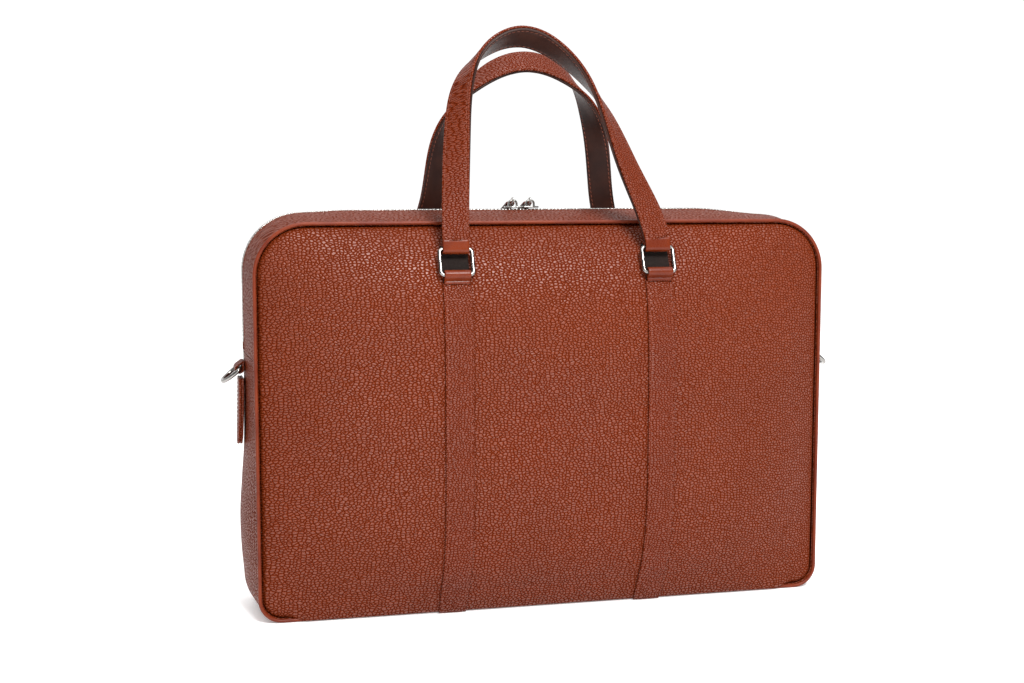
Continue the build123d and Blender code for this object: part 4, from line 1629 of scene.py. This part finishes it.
@dataclass
class Handle:
    """A carrying handle of two plies over a core, with a loop round each ring's upper bar.

    The route gives X, setback towards the middle of the case from the ring's bar, and height above that bar.
    """

    side: Side
    route: list[tuple[float, float, float]]
    roll: float
    wire: float = 1.5
    loop_reach: float = 6.0
    loop_leather: float = 1.6
    width: float = 19.0
    ply: float = 1.85
    core: float = 0.4
    stitch_inset: float = 1.9
    stations: int = 150
    edge_radius: float = 0.75
    puff: float = 0.42
    inner_puff_share: float = 0.25
    stitch_dip: float = 0.26
    dip_spread: float = 0.25
    wrinkle: float = 0.10
    wrinkle_size: float = 9.0
    drawn_length: float = 300.0

    def build(self, finishes: Finishes) -> None:
        """Make the plies, the core, the end loops and the stitches."""
        low, high = box_mm(f"{self.side.word}_left_ring")
        self.bar_y, self.bar_z = min(abs(low.y), abs(high.y)) + self.wire, high.z - self.wire
        self.ring_x = abs(low.x + high.x) / 2
        start_z = self.bar_z + self.loop_reach
        points = [Vector((-self.ring_x, -self.bar_y, start_z))]
        points += [Vector((x, -self.bar_y + back, self.bar_z + rise)) for x, back, rise in self.route]
        points.append(Vector((self.ring_x, -self.bar_y, start_z)))
        self.line = SmoothLine(points, Vector((0, 0, 1)), Vector((0.25, 0, -1)))
        half = (self.ply + self.core) / 2
        self._ply("outer", -half, self.width, finishes.strap_leather, Slot.LEATHER)
        # The inner ply takes the dark lining leather, partly its own colour and partly painted shade of the
        # underside.
        self._ply("inner", half, self.width - 0.1, finishes.dark_leather, Slot.DARK_LEATHER)
        self._core(finishes)
        self._loops(finishes)
        self._stitches(finishes, half)

    def point(self, share: float, across: float, depth: float) -> Vector:
        """A point of the handle.

        Args:
            share: The share of its length, from the left ring.
            across: The distance off its centre line.
            depth: The distance towards its inner face.

        Returns:
            The point in the case's frame.
        """
        centre, over, inward = self._frame(share)
        made = centre + over * across + inward * depth
        return Vector((made.x, made.y * -self.side.value, made.z))

    def _frame(self, share: float) -> tuple[Vector, Vector, Vector]:
        """The centre, the direction across and the inward direction, drawn for the front handle."""
        centre, along = self.line.at(share)
        turn, tip = math.pi * share, math.radians(self.roll)
        over = Vector((math.cos(turn), -math.sin(turn) * math.cos(tip), math.sin(turn) * math.sin(tip)))
        over = (over - along * over.dot(along)).normalized()
        return centre, over, along.cross(over)

    def _ply(
        self, word: str, depth: float, width: float, finish: bpy.types.Material, slot: Slot
    ) -> None:
        """One layer of leather, padded between its stitches on its outer face."""
        section = ply_section(width, self.ply, self.edge_radius, 20, 4)
        away, fullness = (-1.0, 1.0) if word == "outer" else (1.0, self.inner_puff_share)
        inner_width = width / 2 - self.stitch_inset

        def at(share: float, a: float, b: float) -> Vector:
            """One point of the surface."""
            swell = 0.0
            if b > self.ply / 2 - 0.35:
                dip = self.stitch_dip * math.exp(-((abs(a) - inner_width) ** 2) / self.dip_spread)
                rise = self.puff * max(0.0, 1 - (a / inner_width) ** 4) if abs(a) < inner_width else 0.0
                flat = Vector((a, share * self.drawn_length, 0))
                swell = rise * fullness - dip + self.wrinkle * wobble(flat, self.wrinkle_size, depth)
            return self.point(share, a, depth + away * (b + swell))

        body = f"{self.side.word}_handle"
        node = f"{body}_{word}"
        swept_piece(f"{node}_ply", steps(0.0, 1.0, self.stations), section, at, finish, body, slot, [node])

    def _core(self, finishes: Finishes) -> None:
        """The narrow stiff strip between the plies."""
        section = ply_section(self.width - 1.5, self.core + 0.3, 0.2, 8, 2)
        body = f"{self.side.word}_handle"
        node = f"{body}_core"
        shares = steps(0.02, 0.98, self.stations)
        swept_piece(
            f"{node}_strip", shares, section, self.point, finishes.dark_leather, body, Slot.BOARD, [node]
        )

    def _loops(self, finishes: Finishes) -> None:
        """The end loops round the two upper bars."""
        half = self.ply + self.core / 2
        foot = self.bar_z + self.loop_reach + 1.2
        loop = BarLoop(
            (self.bar_y, self.bar_z), (self.bar_y - half, foot), (self.bar_y + half + 0.2, foot),
            self.wire + 0.25 + self.loop_leather,
        )
        for hand in Hand:
            x = hand.value * self.ring_x

            def place(a: float, depth: float, z: float, x: float = x) -> Vector:
                """From the loop's plane to the case."""
                return Vector((x + a, self.side.value * depth, z))

            name = f"{self.side.word}_handle_{hand.word}_loop"
            loop_piece(
                name, loop, self.width - 0.6, self.loop_leather, place, finishes.loop_leather,
                f"{self.side.word}_handle",
            )

    def _stitches(self, finishes: Finishes, half: float) -> None:
        """The rows of stitches along both edges of both faces, and across each end."""
        sewing = Stitching(3.3, 2.6, 0.6, 0.4)
        thread = bmesh.new()
        inset = self.width / 2 - self.stitch_inset
        face = half + self.ply / 2 - 0.16
        for depth in (-face, face):
            for across in (-inset, inset):
                self._row(thread, sewing, depth, [(s, across) for s in steps(0.02, 0.98, 220)])
            for share in (0.03, 0.97):
                self._row(thread, sewing, depth, [(share, a) for a in steps(-inset, inset, 12)])
        piece(
            f"{self.side.word}_handle_stitches", thread, finishes.thread, f"{self.side.word}_handle",
            Slot.LEATHER,
        )

    def _row(
        self, thread: bmesh.types.BMesh, sewing: Stitching, depth: float,
        places: Iterable[tuple[float, float]],
    ) -> None:
        """Sew one row at a depth from the middle of the handle."""
        places = list(places)
        points = [self.point(share, across, depth) for share, across in places]
        outs = [(self.point(s, a, depth * 2) - self.point(s, a, depth)).normalized() for s, a in places]
        sewing.sew(thread, points, outs)


# ============================================================ sides
@dataclass
class SideSet:
    """The D-ring at one end of the case, the loop that holds it and the tab over the zip's end."""

    hand: Hand
    form: CaseForm
    wire: float = 1.5
    inner_width: float = 20.0
    reach: float = 14.5
    slope: float = 38.0
    loop_leather: float = 1.6
    ply: float = 1.75
    tab_foot_share: float = 0.96
    tab_bend: float = 1.6
    tab_stitch_inset: float = 2.0
    tab_stitch_top: float = 1.8

    def build(self, finishes: Finishes) -> None:
        """Make the ring, the loop and the tab."""
        low, high = box_mm(f"{self.hand.word}_ring_loop")
        self.face_x = min(abs(low.x), abs(high.x))
        radius = self.wire + 0.25 + self.loop_leather
        self.bar_x = self.face_x + radius
        self.bar_z = low.z + radius
        self._ring(finishes)
        self._loop(finishes, radius, high.z)
        self._tab(finishes)

    def _place(self, out: float, y: float, z: float) -> Vector:
        """A point from its distance out from the middle of the case, its Y and its height."""
        return Vector((self.hand.value * out, y, z))

    def _ring(self, finishes: Finishes) -> None:
        """The D-ring, hanging outwards and down from its bar."""
        half = self.inner_width / 2 + self.wire
        path = rounded_path(
            [(0, -half), (self.reach, -half), (self.reach, half), (0, half)],
            [1.6, half * 0.85, half * 0.85, 1.6], 12,
        )
        slope = math.radians(self.slope)
        sign = self.hand.value
        out = Vector((sign * math.cos(slope), 0, -math.sin(slope)))
        normal = out.cross(Vector((0, 1, 0)))
        frame = Matrix((out, Vector((0, 1, 0)), normal)).transposed().to_4x4()
        frame.translation = self._place(self.bar_x, 0, self.bar_z)
        work = bmesh.new()
        wire_loop(work, path, self.wire, frame, 20)
        weld(work)
        name = f"{self.hand.word}_d_ring"
        piece(f"{name}_wire", work, finishes.ring_metal, name, Slot.RING_METAL, [name])

    def _loop(self, finishes: Finishes, radius: float, top: float) -> None:
        """The leather that holds the ring's bar to the gusset."""
        bar, front = (self.bar_x, self.bar_z), (self.face_x + self.loop_leather, top)
        loop = BarLoop(bar, (self.face_x, top), front, radius)

        def place(a: float, out: float, z: float) -> Vector:
            """From the loop's plane to the case."""
            return self._place(out, a, z)

        name = f"{self.hand.word}_ring_loop"
        loop_piece(
            f"{name}_leather", loop, self.inner_width - 2.0, self.loop_leather, place, finishes.strap_leather,
            "case", [name],
        )

    def _tab(self, finishes: Finishes) -> None:
        """Two plies of leather, rounded at the foot, curved off the gusset and sewn round the edge."""
        node = f"{self.hand.word}_zip_end_tab"
        low, high = box_mm(node)
        near = min(abs(low.x), abs(high.x))
        half = (high.y - low.y) / 2
        length = high.z - low.z
        foot = half * self.tab_foot_share
        corners = [(-half, 0), (half, 0), (foot, -length), (-foot, -length)]
        radii = [1.5, 1.5, half * 0.88, half * 0.88]
        body = f"{self.hand.word}_tab"
        middle = near + self.ply + 0.1
        turn = Matrix(((0, 0, self.hand.value, 0), (1, 0, 0, 0), (0, 1, 0, high.z), (0, 0, 0, 1)))

        def bend(vert_z: float) -> float:
            """How far the tab leaves the gusset at one height."""
            return self.tab_bend * ((high.z - vert_z) / length) ** 2

        for word, off in (("outer", self.ply / 2 + 0.05), ("inner", -self.ply / 2 - 0.05)):
            work = cut_shape(corners, radii, self.ply, 0.5, rows=14)
            shift = Matrix.Translation((self.hand.value * (middle + off), 0, 0))
            bmesh.ops.transform(work, matrix=shift @ turn, verts=work.verts)
            for vert in work.verts:
                vert.co.x += self.hand.value * bend(vert.co.z)
            bmesh.ops.recalc_face_normals(work, faces=work.faces)
            replaced = [node] if word == "outer" else []
            made = piece(f"{node}_{word}", work, finishes.strap_leather, body, Slot.LEATHER, replaced)
            shade_by_angle(made)
        side, top = half - self.tab_stitch_inset, -self.tab_stitch_top
        end = self.tab_stitch_inset - length
        radii = [0.5, 0.5, half * 0.8, half * 0.8]
        line = rounded_path([(-side, top), (side, top), (side, end), (-side, end)], radii, 10)
        thread = bmesh.new()
        face = middle + self.ply + 0.02
        points = [self._place(face + bend(high.z + b), a, high.z + b) for a, b in line]
        out = self._place(1, 0, 0)
        Stitching(3.0, 2.3, 0.6, 0.4).sew(thread, points, [out] * len(points))
        piece(f"{node}_stitches", thread, finishes.thread, body, Slot.LEATHER)


# ============================================================ what stays from the frame
@dataclass
class Inside:
    """The stiffeners, linings, divider and pocket, which keep the frame's shapes."""

    nodes: dict[str, bpy.types.Object]

    def build(self, finishes: Finishes) -> None:
        """Give each kept node its finish."""
        kept = {
            "front_panel_stiffener": finishes.board,
            "back_panel_stiffener": finishes.board,
            "base_board": finishes.board,
            "front_panel_lining": finishes.lining,
            "back_panel_lining": finishes.lining,
            "front_slip_pocket": finishes.lining,
            "padded_divider": finishes.padding,
            "zip_end_stops": finishes.zip_metal,
        }
        for name, finish in kept.items():
            mesh = self.nodes[name].data
            mesh.materials.clear()
            mesh.materials.append(finish)
            LOG.info("%s keeps the frame's shape", name)


# ============================================================ studio
@dataclass
class Studio:
    """The pale floor, the soft lights and the camera."""

    camera_place: tuple[float, float, float] = (-0.2829, -1.0764, 0.3128)
    camera_down: float = 6.266
    camera_turn: float = 13.776
    lens: float = 52.73
    floor_glow: float = 0.22
    floor_reach: float = 6.0
    key_place: tuple[float, float, float] = (0.2, -1.5, 1.65)
    key_target: tuple[float, float, float] = (0.0, 0.0, 0.15)
    key_size: float = 0.7
    key_power: float = 58.0
    sky_strength: float = 2.1
    sky_spread: float = 75.0
    room_strength: float = 0.3
    backdrop_strength: float = 1.05

    def build(self) -> None:
        """Set the stage."""
        self._floor()
        self._world()
        self._light("key", self.key_place, self.key_target, self.key_size, self.key_power)
        self._sky_light(self.sky_strength, self.sky_spread)
        self._tone()
        self._camera()

    def _tone(self) -> None:
        """Show the colours as they are, without a film curve."""
        bpy.context.scene.view_settings.view_transform = "Standard"

    def _floor(self) -> None:
        """A wide pale ground."""
        work = bmesh.new()
        bmesh.ops.create_grid(work, x_segments=4, y_segments=4, size=self.floor_reach)
        mesh = bpy.data.meshes.new("floor")
        work.to_mesh(mesh)
        work.free()
        sheet = NodeSheet("pale ground")
        cloud = sheet.noise(sheet.coordinates(), 1.5, 2.0).outputs["Fac"]
        sheet.set(Base_Color=sheet.mix(cloud, rgba(0.93, 0.93, 0.93), rgba(0.96, 0.96, 0.96)), Roughness=0.7)
        sheet.set(Emission_Color=(1, 1, 1, 1), Emission_Strength=self.floor_glow)
        mesh.materials.append(sheet.material)
        floor = bpy.data.objects.new("floor", mesh)
        bpy.context.scene.collection.objects.link(floor)

    def _world(self) -> None:
        """A white backdrop behind the case and a dimmer room in front of it."""
        world = bpy.data.worlds.new("studio")
        world.use_nodes = True
        nodes, links = world.node_tree.nodes, world.node_tree.links
        direction = nodes.new("ShaderNodeTexCoord")
        split = nodes.new("ShaderNodeSeparateXYZ")
        links.new(direction.outputs["Generated"], split.inputs["Vector"])
        fade = nodes.new("ShaderNodeMapRange")
        fade.interpolation_type = "SMOOTHSTEP"
        fade.inputs["From Min"].default_value, fade.inputs["From Max"].default_value = 0.1, 0.75
        fade.inputs["To Min"].default_value = self.room_strength
        fade.inputs["To Max"].default_value = self.backdrop_strength
        links.new(split.outputs["Y"], fade.inputs["Value"])
        links.new(fade.outputs["Result"], nodes["Background"].inputs["Strength"])
        nodes["Background"].inputs["Color"].default_value = (1, 1, 1, 1)
        bpy.context.scene.world = world

    def _light(
        self, name: str, place: tuple[float, float, float], target: tuple[float, float, float], size: float,
        power: float,
    ) -> None:
        """A square soft light aimed at the case."""
        data = bpy.data.lights.new(name, "AREA")
        data.energy, data.size = power, size
        lamp = bpy.data.objects.new(name, data)
        lamp.location = place
        lamp.rotation_euler = (Vector(target) - Vector(place)).to_track_quat("-Z", "Y").to_euler()
        bpy.context.scene.collection.objects.link(lamp)

    def _sky_light(self, strength: float, spread: float) -> None:
        """A very soft light from straight above, even over the whole ground."""
        data = bpy.data.lights.new("sky", "SUN")
        data.energy, data.angle = strength, math.radians(spread)
        bpy.context.scene.collection.objects.link(bpy.data.objects.new("sky", data))

    def _camera(self) -> None:
        """The camera, from the front and a little to the left."""
        data = bpy.data.cameras.new("camera")
        data.lens, data.sensor_width, data.sensor_fit = self.lens, 36.0, "HORIZONTAL"
        data.clip_start, data.clip_end = 0.01, 50.0
        camera = bpy.data.objects.new("camera", data)
        camera.location = self.camera_place
        turn = (math.radians(90 - self.camera_down), 0.0, math.radians(-self.camera_turn))
        camera.rotation_euler = turn
        bpy.context.scene.collection.objects.link(camera)
        bpy.context.scene.camera = camera


FRONT_ROUTE = [
    (-72.9, 1.0, 38.0),
    (-70.8, 4.0, 83.0),
    (-59.0, 8.0, 127.5),
    (-24.0, 11.0, 147.0),
    (8.0, 10.0, 132.5),
    (31.0, 8.0, 105.0),
    (53.5, 4.5, 55.5),
]
BACK_ROUTE = [
    (-69.0, 1.0, 28.0),
    (-60.5, 4.0, 80.0),
    (-37.0, 8.0, 119.0),
    (5.0, 10.5, 137.0),
    (42.0, 8.5, 120.0),
    (60.5, 4.0, 84.0),
    (68.0, 1.0, 28.0),
]


def main() -> None:
    """Build the briefcase round its frame."""
    logging.basicConfig(level=logging.INFO, format="%(name)s: %(message)s")
    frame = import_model()
    Studio().build()
    finishes = Finishes.make()
    form = CaseForm()
    for side in Side:
        Panel(side, form).build(finishes)
        for hand in Hand:
            StrapSet(side, hand, form).build(finishes)
    Gusset(form).build(finishes)
    Zip(form).build(finishes)
    Handle(Side.FRONT, FRONT_ROUTE, 37.0).build(finishes)
    Handle(Side.BACK, BACK_ROUTE, 50.0).build(finishes)
    for hand in Hand:
        Slider(hand).build(finishes)
        SideSet(hand, form).build(finishes)
    Inside(frame["nodes"]).build(finishes)


if __name__ == "__main__":
    main()
